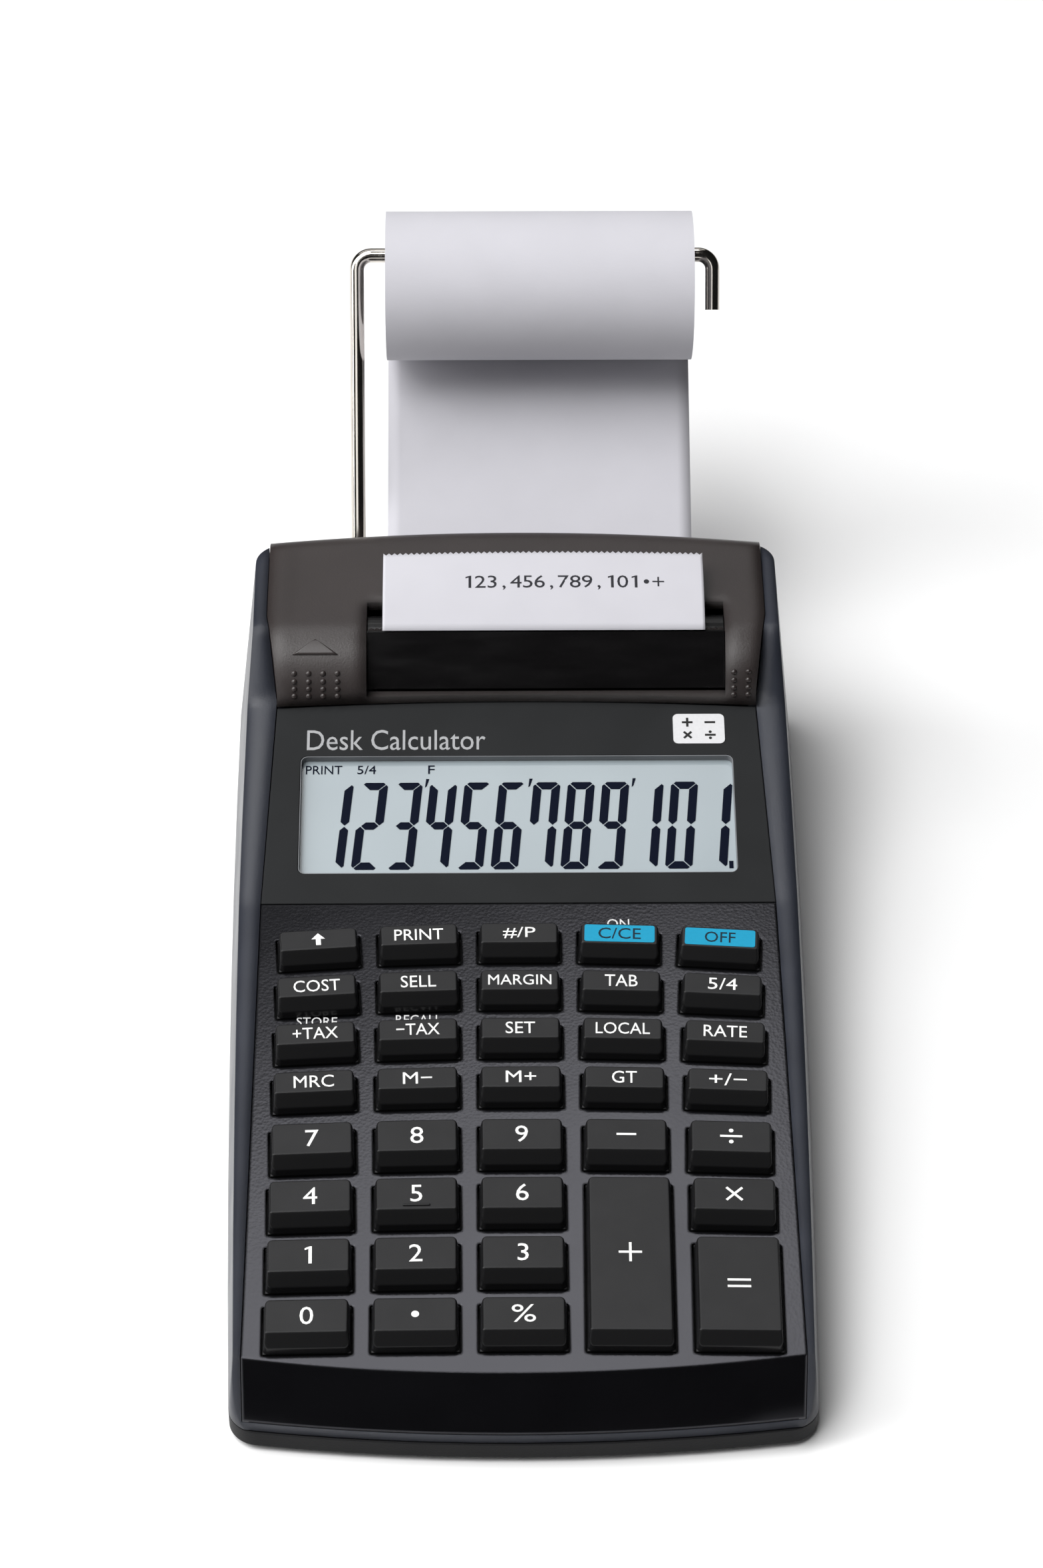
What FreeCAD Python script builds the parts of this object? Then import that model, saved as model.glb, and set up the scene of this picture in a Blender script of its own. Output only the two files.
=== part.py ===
"""A portable printing calculator: case, sprung keys, display, printer with its sliding cover, and paper.

Millimetres. +X is to the user's right, +Y away from the user, +Z up, and Z = 0 is the desk.
The model is worked out with Y = 0 at the front of the case, and every part is then moved back
by half the overall length, so that the origin lies under the middle of the object.
"""
import FreeCAD, Part
import math
import os
import re

import Sketcher

SIZES = [
    # the case
    ("foot_height", 1.3, "rubber foot under the case"),
    ("case_wall", 1.8, "side wall of both housings"),
    ("case_floor", 2.0, "floor of the lower housing"),
    ("parting_height", 4.6, "where the upper housing starts"),
    ("parting_gap", 0.2, "groove between the housings"),
    ("tongue_height", 2.0, "lip of the lower housing inside the upper one"),
    ("case_length", 180.5, "front to back of the case"),
    ("front_half_width", 46.4, "half the width at the front"),
    ("rear_half_width", 51.6, "half the width at the rear"),
    ("case_top", 46.0, "highest level of the case"),
    ("side_draft", 6.5, "lean of the side walls, degrees"),
    ("front_radius", 335.0, "bow of the front edge in plan"),
    ("rear_radius", 340.0, "bow of the rear edge in plan"),
    ("side_radius", 4000.0, "bow of the sides in plan"),
    ("corner_round", 5.0, "vertical corners of the case"),
    # the sloping deck with the keys
    ("apron_slope", 26.0, "lean of the front apron from upright, degrees"),
    ("apron_foot", 1.1, "frame lip under the apron"),
    ("crease_back", 5.5, "deck's front crease from the front of the case"),
    ("crease_height", 15.3, "deck's front crease above the desk"),
    ("deck_tilt", 5.5, "slope of the deck, degrees"),
    ("deck_length", 95.7, "crease to display panel, along the slope"),
    ("deck_half_width", 44.35, "half the width inside the frame"),
    ("deck_plate", 2.0, "thickness of the key deck"),
    ("seam_gap", 0.15, "gap round each piece set into the frame"),
    ("seat_gap", 0.1, "gap under each piece set into the frame"),
    ("ledge_thick", 1.2, "ledge that the set-in pieces rest on"),
    ("ledge_width", 1.4, "ledge that the set-in pieces rest on"),
    ("apron_wall", 1.4, "wall of the deck's apron"),
    # the display
    ("display_tilt", 14.0, "slope of the display panel, degrees"),
    ("display_length", 42.0, "display panel along its slope"),
    ("display_half_width", 42.6, "half the width at its rear edge"),
    ("display_plate", 1.4, "thickness of the display panel"),
    ("window_width", 76.2, "window in the display panel"),
    ("window_front", 6.1, "front edge of the window along the slope"),
    ("window_depth", 24.5, "window along the slope"),
    ("window_round", 1.2, "corner of the window"),
    ("glass_width", 82.0, "liquid crystal module"),
    ("glass_depth", 30.0, "liquid crystal module along the slope"),
    ("glass_thick", 3.0, "liquid crystal module"),
    # the printer cover
    ("cover_wall", 1.8, "wall of the cover"),
    ("cover_shoulder_back", 150.5, "where the nose meets the flat top"),
    ("cover_crest", 45.6, "top of the cover above the desk"),
    ("cover_rear_drop", 5.0, "round at the rear of the cover"),
    ("cover_nose_round", 14.0, "bow of the cover's nose"),
    ("cover_rear_half", 45.0, "half the width of the cover at its rear"),
    ("cover_travel", 12.0, "how far the cover slides back"),
    ("mouth_left", 26.6, "left side of the paper mouth from the middle"),
    ("mouth_right", 37.1, "right side of the paper mouth from the middle"),
    ("mouth_front", 143.0, "foot of the tear bar, in the paper mouth"),
    ("mouth_back", 156.8, "back of the paper mouth"),
    ("bar_thick", 1.2, "smoked tear bar"),
    # the keys
    ("column_pitch", 17.0, "key columns, centre to centre"),
    ("number_pitch", 11.65, "number rows"),
    ("function_pitch", 10.25, "function rows"),
    ("first_row", 3.95, "front row's lower edge from the crease"),
    ("block_gap", 1.05, "extra gap between number and function rows"),
    ("back_row_sag", 1.27, "how far the outer keys of the back row sit forward"),
    ("front_row_sag", 0.26, "the same for the front row"),
    ("column_gap", 3.1, "deck left between key columns"),
    ("number_gap", 2.95, "deck left between number rows"),
    ("function_gap", 3.45, "deck left between function rows"),
    ("key_height", 3.4, "key above the deck"),
    ("key_below", 2.2, "key shaft below the deck's face"),
    ("key_draft", 8.0, "lean of the key's sides, degrees"),
    ("key_band", 1.4, "upright band at the key's front"),
    ("key_facet", 1.75, "run of the slanted front facet"),
    ("key_back_drop", 0.35, "key top's fall towards its back"),
    ("key_round", 0.35, "edges of the key"),
    ("key_corner", 0.9, "upright corners of the key"),
    ("key_gap", 0.28, "gap between key and deck"),
    ("key_travel", 1.5, "how far a key goes down"),
    ("flange_thick", 1.0, "flange that keeps the key in"),
    ("flange_reach", 0.6, "flange beyond the key's sides"),
    ("stem_size", 3.0, "plunger under the key"),
    ("stem_length", 1.0, "plunger under the key"),
    # under the keys
    ("mat_thick", 0.8, "rubber key mat"),
    ("dome_height", 0.8, "rubber dome, pressed"),
    ("board_thick", 1.6, "main circuit board"),
    ("board_half_width", 37.4, "main circuit board"),
    # the power supply
    ("cell_radius", 7.1, "AA cell"),
    ("cell_length", 50.0, "AA cell"),
    ("cell_pitch", 14.8, "AA cells side by side"),
    ("well_front", 96.0, "front wall of the battery well"),
    ("well_wall", 1.2, "walls of the battery well"),
    ("well_spare", 1.1, "room beyond each end of the cells"),
    ("door_thick", 1.6, "battery door"),
    ("door_travel", 6.0, "how far the battery door slides"),
    ("jack_radius", 4.5, "mains adapter socket"),
    ("jack_bore", 2.75, "mains adapter socket"),
    ("jack_length", 11.0, "mains adapter socket"),
    ("jack_side", 36.6, "mains adapter socket from the middle"),
    ("jack_height", 13.0, "mains adapter socket above the desk"),
    # the printer and the paper
    ("paper_width", 57.3, "paper tape"),
    ("paper_middle", 4.9, "middle of the paper from the middle of the case"),
    ("paper_thick", 0.3, "paper as modelled"),
    ("roll_radius", 13.9, "paper roll"),
    ("roll_hole", 7.3, "hole in the paper roll"),
    ("roll_reach", 45.0, "middle of the roll behind the case"),
    ("roll_height", 65.2, "middle of the roll above the desk"),
    ("web_slope", 32.0, "slope of the paper between roll and case, degrees"),
    ("wire_radius", 1.35, "wire of the paper holder"),
    ("wire_bend", 2.7, "bends of the wire"),
    ("wire_side", 29.3, "left leg from the middle"),
    ("hook_side", 37.5, "right hook from the middle"),
    ("hook_length", 10.3, "right hook"),
    ("pivot_reach", 4.0, "holder's pivot behind the case"),
    ("pivot_height", 12.0, "holder's pivot above the desk"),
    ("pivot_clearance", 0.05, "round the holder's pivot"),
    ("lug_width", 7.0, "lug on the rear wall that holds the pivot"),
    ("lug_radius", 4.0, "lug on the rear wall"),
    ("drum_radius", 5.5, "print drum"),
    ("platen_radius", 5.0, "paper feed roller"),
    ("ink_radius", 3.8, "ink roller"),
    ("roller_gap", 0.4, "between the rollers"),
    ("platen_inset", 13.4, "paper feed roller in front of the case's rear"),
    ("roller_height", 27.0, "printer's shafts above the desk"),
    ("shaft_radius", 1.5, "printer's shafts"),
    ("shaft_clearance", 0.06, "round the printer's shafts"),
    ("frame_margin", 3.0, "printer frame in front of the ink roller's shaft"),
    ("side_plate", 1.2, "printer's frame"),
    ("screw_radius", 1.2, "case screw"),
]

DECK_COLUMNS = 5
NUMBER_ROWS = 4
ALL_ROWS = 8
KEY_NAMES = [
    ["zero", "point", "percent", None, None],
    ["one", "two", "three", None, "equals"],
    ["four", "five", "six", "plus", "multiply"],
    ["seven", "eight", "nine", "minus", "divide"],
    ["memory_recall", "memory_minus", "memory_plus", "grand_total", "sign"],
    ["tax_plus", "tax_minus", "set", "local", "rate"],
    ["cost", "sell", "margin", "tab", "rounding"],
    ["feed", "print", "date_print", "clear", "power_off"],
]
KEY_SPANS = {"plus": 3, "equals": 2}   # rows that a tall key covers, counted towards the front
POINT = FreeCAD.Vector
FAR = "200"                            # longer or wider than the whole object

doc = FreeCAD.newDocument("printing_calculator")
sheet = doc.addObject("Spreadsheet::Sheet", "Sizes")
for line, (alias, value, meaning) in enumerate(SIZES, start=1):
    sheet.set(f"A{line}", alias)
    sheet.set(f"B{line}", str(value))
    sheet.set(f"C{line}", meaning)
    sheet.setAlias(f"B{line}", alias)
doc.recompute()
ALIAS = re.compile(r"\b(" + "|".join(alias for alias, _, _ in SIZES) + r")\b")
parts = []


# ---------------------------------------------------------------- small helpers

def bound(text):
    """The formula with each named size pointed at its cell."""
    return ALIAS.sub(r"Sizes.\1", str(text))


def number(text):
    """The formula's value now."""
    return float(sheet.evalExpression(bound(text)))


def bind(item, prop, text):
    item.setExpression(prop, bound(text))
    return item


def turned(axis, degrees):
    return FreeCAD.Rotation(axis, degrees)


def primitive(kind, name, at=("0", "0", "0"), turn=None, **sizes):
    """A Part primitive with its sizes and its place bound to the sheet."""
    item = doc.addObject("Part::" + kind, name)
    for prop, text in sizes.items():
        bind(item, prop, text)
    if turn:
        item.Placement.Rotation = turn
    for letter, text in zip("xyz", at):
        bind(item, "Placement.Base." + letter, text)
    return item


def box(name, low, high):
    """A box between two corners given as formulas."""
    spans = [f"({b}) - ({a})" for a, b in zip(low, high)]
    return primitive("Box", name, low, Length=spans[0], Width=spans[1], Height=spans[2])


ALONG_X = turned(POINT(0, 1, 0), 90)
ALONG_Y = turned(POINT(1, 0, 0), -90)


def rod(name, radius, low_x, high_x, back, height):
    """A round bar along X."""
    return primitive("Cylinder", name, (low_x, back, height), ALONG_X, Radius=radius,
                     Height=f"({high_x}) - ({low_x})")


def cut(name, base, tool):
    item = doc.addObject("Part::Cut", name)
    item.Base, item.Tool = base, tool
    return item


def common(name, first, second):
    item = doc.addObject("Part::Common", name)
    item.Base, item.Tool = first, second
    return item


def fused(name, pieces):
    item = doc.addObject("Part::MultiFuse", name)
    item.Shapes = pieces
    return item


def grouped(name, pieces):
    """Separate solids that share one node."""
    item = doc.addObject("Part::Compound", name)
    item.Links = pieces
    return item


def new_body(name):
    return doc.addObject("PartDesign::Body", name)


def outline(body, name, plane, corners, arcs=None, lift=None):
    """A closed sketch whose corners are formulas. arcs gives the radius of the side that starts at
    a corner, positive where the side bows to the right of its direction."""
    arcs = arcs or {}
    sketch = body.newObject("Sketcher::SketchObject", name)
    support = [f for f in body.Origin.OriginFeatures if f.Role == plane][0]
    sketch.AttachmentSupport = [(support, "")]
    sketch.MapMode = "FlatFace"
    if lift:
        bind(sketch, "AttachmentOffset.Base.z", lift)
    places = [POINT(number(x), number(y), 0) for x, y in corners]
    for i, start in enumerate(places):
        end = places[(i + 1) % len(places)]
        if i in arcs:
            radius = number(arcs[i])
            half = (end - start).Length / 2
            along = (end - start).normalize()
            right = POINT(along.y, -along.x, 0)
            rise = abs(radius) - math.sqrt(radius ** 2 - half ** 2)
            top = (start + end) / 2 + right * math.copysign(rise, radius)
            first, last = (start, end) if radius > 0 else (end, start)
            sketch.addGeometry(Part.Arc(first, top, last))
        else:
            sketch.addGeometry(Part.LineSegment(start, end))
    ends = {i: (2, 1) if i in arcs and number(arcs[i]) < 0 else (1, 2) for i in range(len(places))}
    for i in range(len(places)):
        after = (i + 1) % len(places)
        sketch.addConstraint(Sketcher.Constraint("Coincident", i, ends[i][1], after, ends[after][0]))
    for i, (x, y) in enumerate(corners):
        for kind, letter, text in (("DistanceX", "x", x), ("DistanceY", "y", y)):
            key = sketch.addConstraint(Sketcher.Constraint(kind, -1, 1, i, ends[i][0], number(text)))
            sketch.renameConstraint(key, f"{letter}{i}")
            sketch.setExpression(f"Constraints.{letter}{i}", bound(text))
    for i, radius in arcs.items():
        key = sketch.addConstraint(Sketcher.Constraint("Radius", i, abs(number(radius))))
        sketch.renameConstraint(key, f"radius{i}")
        sketch.setExpression(f"Constraints.radius{i}", bound(f"abs({radius})"))
    return sketch


def pad(body, sketch, length, taper=None, both_ways=False, down=False):
    item = body.newObject("PartDesign::Pad", sketch.Name + "_pad")
    item.Profile = sketch
    bind(item, "Length", length)
    item.Midplane = both_ways
    item.Reversed = down
    if taper:
        bind(item, "TaperAngle", taper)
    return item


def slab(name, corners, arcs=None, width=FAR):
    """A side profile (Y, Z) stretched across the object."""
    body = new_body(name)
    pad(body, outline(body, name + "_profile", "YZ_Plane", corners, arcs), width, both_ways=True)
    return body


def block(name, corners, low, high, arcs=None):
    """A plan (X, Y) raised from one level to another."""
    body = new_body(name)
    pad(body, outline(body, name + "_plan", "XY_Plane", corners, arcs, low), f"({high}) - ({low})")
    return body


def copied(master, name, place):
    """The same solid again, somewhere else."""
    body = new_body(name)
    body.BaseFeature = master
    body.Placement = place
    return body


def keep(item, label, place=None):
    """Marks a finished sub-part, and moves it from the front-based frame to the object's own."""
    item.Label = label
    shift = FreeCAD.Placement(POINT(0, -number(ORIGIN_BACK), 0), FreeCAD.Rotation())
    item.Placement = shift.multiply(place or item.Placement)
    parts.append(item)
    return item


# ---------------------------------------------------------------- shared places

DECK_END_BACK = "(crease_back + deck_length * cos(deck_tilt))"
DECK_END_HEIGHT = "(crease_height + deck_length * sin(deck_tilt))"
DISPLAY_END_BACK = f"({DECK_END_BACK} + display_length * cos(display_tilt))"
DISPLAY_END_HEIGHT = f"({DECK_END_HEIGHT} + display_length * sin(display_tilt))"
COVER_BASE = f"({DISPLAY_END_HEIGHT} + 0.2)"
ORIGIN_BACK = "((case_length + roll_reach + roll_radius) / 2)"
APRON_FOOT = "(parting_height + apron_foot)"
FLOOR_TOP = "(foot_height + case_floor)"
PAPER_LOW = "(paper_middle - paper_width / 2)"
PAPER_HIGH = "(paper_middle + paper_width / 2)"
WEB_REACH = "(roll_radius + 0.25)"
WEB_START = (f"(case_length + roll_reach + {WEB_REACH} * sin(web_slope))", f"(roll_height - {WEB_REACH} * cos(web_slope))")
WEB_ENTRY = f"({WEB_START[1]} - ({WEB_START[0]} - case_length) * tan(web_slope))"
KEY_HANG = "(key_below + flange_thick + stem_length)"
MAT_DEPTH = f"({KEY_HANG} + key_travel + dome_height + 0.2)"
BOARD_DEPTH = f"({MAT_DEPTH} + mat_thick + 0.1)"


def on_deck(along, depth):
    """Y and Z of a point on the deck, some way along its slope and below its face."""
    return (f"crease_back + ({along}) * cos(deck_tilt) + ({depth}) * sin(deck_tilt)",
            f"crease_height + ({along}) * sin(deck_tilt) - ({depth}) * cos(deck_tilt)")


def on_display(along, depth):
    return (f"{DECK_END_BACK} + ({along}) * cos(display_tilt) + ({depth}) * sin(display_tilt)",
            f"{DECK_END_HEIGHT} + ({along}) * sin(display_tilt) - ({depth}) * cos(display_tilt)")


def deck_place(x=0.0, along=0.0, yaw=0.0, depth=0.0):
    """The placement of something that stands on the deck."""
    back, height = on_deck(repr(along), repr(depth))
    tilt = turned(POINT(1, 0, 0), number("deck_tilt"))
    return FreeCAD.Placement(POINT(x, number(back), number(height)),
                             tilt.multiply(turned(POINT(0, 0, 1), yaw)))


# ---------------------------------------------------------------- the case

def case_outline(inset):
    """The case in plan: a bowed front and rear, and sides that widen to the rear."""
    half_front = f"(front_half_width - {inset})"
    half_rear = f"(rear_half_width - {inset})"
    bow_front = f"(front_radius - {inset})"
    bow_rear = f"(rear_radius - {inset})"
    front = f"front_radius - sqrt({bow_front}^2 - {half_front}^2)"
    rear = f"case_length - rear_radius + sqrt({bow_rear}^2 - {half_rear}^2)"
    corners = [("-" + half_front, front), (half_front, front), (half_rear, rear), ("-" + half_rear, rear)]
    return corners, {0: bow_front, 1: "side_radius", 2: bow_rear, 3: "side_radius"}


def case_hull(name, inset, low, high, taper):
    """The case's outer form, or with an inset its inner form, with rounded corners."""
    body = new_body(name)
    corners, arcs = case_outline(inset)
    lift = pad(body, outline(body, name + "_plan", "XY_Plane", corners, arcs, low),
               f"({high}) - ({low})", taper)
    doc.recompute()
    edges = []
    for index, edge in enumerate(lift.Shape.Edges, start=1):
        first, last = edge.Vertexes[0].Point, edge.Vertexes[-1].Point
        if abs(first.z - last.z) > 0.5:
            edges.append(f"Edge{index}")
    rounding = body.newObject("PartDesign::Fillet", name + "_corners")
    rounding.Base = (lift, edges)
    bind(rounding, "Radius", f"corner_round - {inset}")
    return body


def top_profile(depth, front, rear, floor):
    """The side profile under the case's top faces, lowered by depth."""
    fold = [on_display("0", depth)] if depth == "0" else [on_deck("deck_length", depth), on_display("0", depth)]
    return [(front, floor),
            (front, f"crease_height + (({front}) - crease_back) * tan(deck_tilt) - ({depth})"),
            *fold, on_display("display_length", depth),
            (f"{DISPLAY_END_BACK} + 2", f"{DISPLAY_END_HEIGHT} + 2.2 - ({depth})"),
            ("cover_shoulder_back", f"cover_crest - 0.9 - ({depth})"),
            (rear, f"cover_crest - 0.4 - ({depth})"), (rear, floor)]


def apron_cone(name, inset, wall):
    """The bowed, leaning front of the case: a cone round an upright line far behind it."""
    radius = f"(front_radius - crease_back + (crease_height - ({inset})) * tan(apron_slope) - ({wall}))"
    return primitive("Cone", name, ("0", "front_radius", inset), Radius1=radius,
                     Radius2=f"{radius} - 60 * tan(apron_slope)", Height="60")


def seam_plan(gap):
    """The opening inside the frame, in plan, narrow where the display meets the cover."""
    rear = "(case_length + 60)"
    waist = "(cover_shoulder_back + 3)"
    right = [(f"deck_half_width - {gap}", "-10"), (f"deck_half_width - {gap}", DECK_END_BACK),
             (f"display_half_width - {gap}", DISPLAY_END_BACK), (f"cover_rear_half - 0.5 - {gap}", waist),
             (f"cover_rear_half - {gap}", rear)]
    left = [("-(" + x + ")", y) for x, y in reversed(right)]
    return right + left


def build_case():
    hull = common("hull_cut", case_hull("hull", "0", "parting_height", "case_top + 2", "-side_draft"),
                  slab("hull_top", top_profile("0", "-10", "case_length + 10", "0")))
    hull = common("hull_bowed", hull, apron_cone("apron_outside", "parting_height", "0"))
    hollow = common("hollow_cut", case_hull("hollow", "case_wall", "parting_height - 1", "case_top + 2", "-side_draft"),
                    slab("hollow_top", top_profile("deck_plate + seat_gap + ledge_thick", "-10", "case_length + 10", "0")))
    hollow = common("hollow_bowed", hollow, apron_cone("apron_inside", "parting_height - 1", "case_wall"))
    shell = cut("shell", hull, hollow)

    depth = "deck_plate + seat_gap"
    bay_profile = [("-10", APRON_FOOT), ("-10", "80"), ("240", "80"), ("240", f"{COVER_BASE} - 0.2"),
                   (f"{DISPLAY_END_BACK} - 0.2", f"{COVER_BASE} - 0.2"),
                   on_display("display_length - 0.5", "display_plate + seat_gap"),
                   on_display("0", "display_plate + seat_gap"),
                   on_deck("deck_length", depth), on_deck("6", depth), ("crease_back", APRON_FOOT)]
    bay = common("bay", slab("bay_profile", bay_profile),
                 block("bay_plan", seam_plan("0"), "0", "90"))
    well = common("ledge_opening", block("ledge_plan", seam_plan("ledge_width"), APRON_FOOT, "90"),
                  box("ledge_reach", ("-100", "crease_back + 1", "0"), ("100", f"{DISPLAY_END_BACK} + 1", "90")))
    slot = box("paper_inlet", (f"{PAPER_LOW} - 1.5", "case_length - 8", f"{WEB_ENTRY} - 4"),
               (f"{PAPER_HIGH} + 1.5", "case_length + 8", f"{WEB_ENTRY} + 2.5"))
    jack_hole = primitive("Cylinder", "jack_hole", ("jack_side", "case_length - 12", "jack_height"), ALONG_Y,
                          Radius="jack_radius + 0.15", Height="30")
    shell = cut("shell_open", shell, fused("openings", [bay, well, slot, jack_hole]))

    lug_side = "-wire_side + wire_radius + wire_bend - 0.2"
    lug = fused("lug", [
        rod("lug_round", "lug_radius", lug_side, f"{lug_side} + lug_width", "case_length + pivot_reach", "pivot_height"),
        box("lug_root", (lug_side, "case_length - 5", "pivot_height - lug_radius"),
            (f"{lug_side} + lug_width", "case_length + pivot_reach", "pivot_height + lug_radius"))])
    lug = cut("lug_bored", lug, rod("lug_bore", "wire_radius + pivot_clearance", f"{lug_side} - 1",
                                    f"{lug_side} + lug_width + 1", "case_length + pivot_reach", "pivot_height"))
    lug = cut("lug_trimmed", lug, copied(doc.getObject("hollow"), "lug_limit", FreeCAD.Placement()))

    bosses = []
    for name, x, y, top in SCREWS:
        post = primitive("Cylinder", name + "_boss", (x, y, "parting_height + tongue_height + 0.4"),
                         Radius="2.9", Height=f"({top}) - (parting_height + tongue_height + 0.4)")
        hole = primitive("Cylinder", name + "_pilot", (x, y, "0"), Radius="screw_radius + 0.05",
                         Height=f"({top}) - 1")
        bosses.append(cut(name + "_post", post, hole))
    return keep(fused("upper", [shell, lug] + bosses), "upper_housing")


SCREWS = [
    ("screw_front_left", "-42.4", "15", "10.5"), ("screw_front_right", "42.4", "15", "10.5"),
    ("screw_rear_left", "-46.8", "166", "16"), ("screw_rear_right", "46.8", "166", "16"),
]
FEET = [("-36", "10"), ("36", "10"), ("-41", "172"), ("41", "172")]
WELL_HALF = "(2 * cell_pitch + 0.4)"
WELL_BACK = "(well_front + 2 * well_wall + 2 * well_spare + cell_length)"
WELL_TOP = f"({FLOOR_TOP} + 2 * cell_radius + 0.3)"
DOOR_HALF = f"({WELL_HALF} + 2)"
DOOR_FRONT = "(well_front - 1)"
DOOR_BACK = f"({WELL_BACK} + 1)"
FRAME_POSTS = [("-22", "case_length - 27"), ("32", "case_length - 27"),
               ("-22", "case_length - 10"), ("27", "case_length - 10")]
FRAME_BASE = "(roller_height - 7)"


def build_lower_housing():
    tray = case_hull("tray", "0", "foot_height", "parting_height - parting_gap", None)
    lean = "(case_wall + 0.15 + (tongue_height + 1) * tan(side_draft))"
    tongue = common("tongue_bowed",
                    case_hull("tongue", lean, FLOOR_TOP, "parting_height + tongue_height", None),
                    apron_cone("tongue_apron", FLOOR_TOP, "case_wall + 0.4"))
    inside = common("inside_bowed",
                    case_hull("tray_inside", f"({lean} + 1.2)", FLOOR_TOP, "parting_height + tongue_height + 1", None),
                    apron_cone("inside_apron", FLOOR_TOP, "case_wall + 1.6"))
    tray = cut("tray_open", fused("tray_walls", [tray, tongue]), inside)

    well = cut("well", box("well_outside", ("-" + WELL_HALF + " - well_wall", "well_front", "foot_height + 0.5"),
                           (f"{WELL_HALF} + well_wall", WELL_BACK, f"{WELL_TOP} + well_wall")),
               box("well_void", ("-" + WELL_HALF, "well_front + well_wall", "0"),
                   (WELL_HALF, f"{WELL_BACK} - well_wall", WELL_TOP)))
    posts = [primitive("Cylinder", f"frame_post_{i}", (x, y, f"{FLOOR_TOP} - 0.5"), Radius="2.5",
                       Height=f"{FRAME_BASE} - 0.05 - {FLOOR_TOP} + 0.5") for i, (x, y) in enumerate(FRAME_POSTS)]
    sleeves = [primitive("Cylinder", name + "_sleeve", (x, y, FLOOR_TOP), Radius="3.2",
                         Height="parting_height + tongue_height - foot_height")
               for name, x, y, _ in SCREWS]
    limit = copied(doc.getObject("tongue_bowed"), "sleeve_limit", FreeCAD.Placement())
    sleeves = common("sleeves_bowed", fused("sleeves", sleeves), limit)
    solid = fused("lower_solid", [tray, well, sleeves] + posts)

    holes = [box("well_mouth", ("-" + WELL_HALF, "well_front + well_wall", "0"),
                 (WELL_HALF, f"{WELL_BACK} - well_wall", f"{FLOOR_TOP} + 0.5")),
             box("door_recess", (f"-{DOOR_HALF} - 0.2", f"{DOOR_FRONT} - 0.2", "0"),
                 (f"{DOOR_HALF} + 0.2", f"{DOOR_BACK} + door_travel + 0.4", "foot_height + door_thick + 0.1"))]
    for name, x, y, _ in SCREWS:
        holes.append(primitive("Cylinder", name + "_hole", (x, y, "0"), Radius="screw_radius + 0.25", Height="12"))
        holes.append(primitive("Cylinder", name + "_sink", (x, y, "0"), Radius="2.5",
                               Height="foot_height + 2.4"))
    holes += [primitive("Cylinder", f"foot_recess_{i}", (x, y, "0"), Radius="4.2", Height="foot_height + 0.6")
              for i, (x, y) in enumerate(FEET)]
    return keep(cut("lower", solid, fused("lower_holes", holes)), "lower_housing")


def build_fasteners():
    screws = []
    for name, x, y, top in SCREWS:
        head = primitive("Cylinder", name + "_head", (x, y, "foot_height + 0.6"), Radius="2.2", Height="1.6")
        shank = primitive("Cylinder", name + "_shank", (x, y, "foot_height + 2"), Radius="screw_radius",
                          Height=f"({top}) - foot_height - 4")
        cross = [box(name + "_slot_a", (f"{x} - 1.3", f"{y} - 0.25", "0"), (f"{x} + 1.3", f"{y} + 0.25", "foot_height + 1.3")),
                 box(name + "_slot_b", (f"{x} - 0.25", f"{y} - 1.3", "0"), (f"{x} + 0.25", f"{y} + 1.3", "foot_height + 1.3"))]
        screws.append(cut(name, fused(name + "_blank", [head, shank]), fused(name + "_cross", cross)))
    keep(grouped("screws", screws), "case_screws")
    feet = [primitive("Cone", f"foot_{i}", (x, y, "0"), Radius1="3.7", Radius2="4.1", Height="foot_height + 0.55")
            for i, (x, y) in enumerate(FEET)]
    keep(grouped("feet", feet), "rubber_feet")


# ---------------------------------------------------------------- the keys

def row_front(row):
    """How far up the slope a row's keys start."""
    if row < NUMBER_ROWS:
        return f"first_row + {row} * number_pitch"
    return f"first_row + {NUMBER_ROWS} * number_pitch + block_gap + {row - NUMBER_ROWS} * function_pitch"


def key_depth(row, span):
    base = "number_pitch - number_gap" if row < NUMBER_ROWS else "function_pitch - function_gap"
    return f"({base} + {span - 1} * number_pitch)"


def key_seat(row, column, span):
    """Where a key stands: the rows bow, so that the outer keys sit forward and turn with the row."""
    middle_row = row - (span - 1) / 2
    sag = number(f"front_row_sag + (back_row_sag - front_row_sag) * {middle_row} / {ALL_ROWS - 1}")
    x = (column - (DECK_COLUMNS - 1) / 2) * number("column_pitch")
    reach = number("column_pitch") * (DECK_COLUMNS - 1) / 2
    along = number(f"{row_front(row - span + 1)} + {key_depth(row, span)} / 2") - sag * (x / reach) ** 2
    yaw = -math.degrees(math.atan(2 * sag * x / reach ** 2))
    return deck_place(x, along, yaw)


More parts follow.
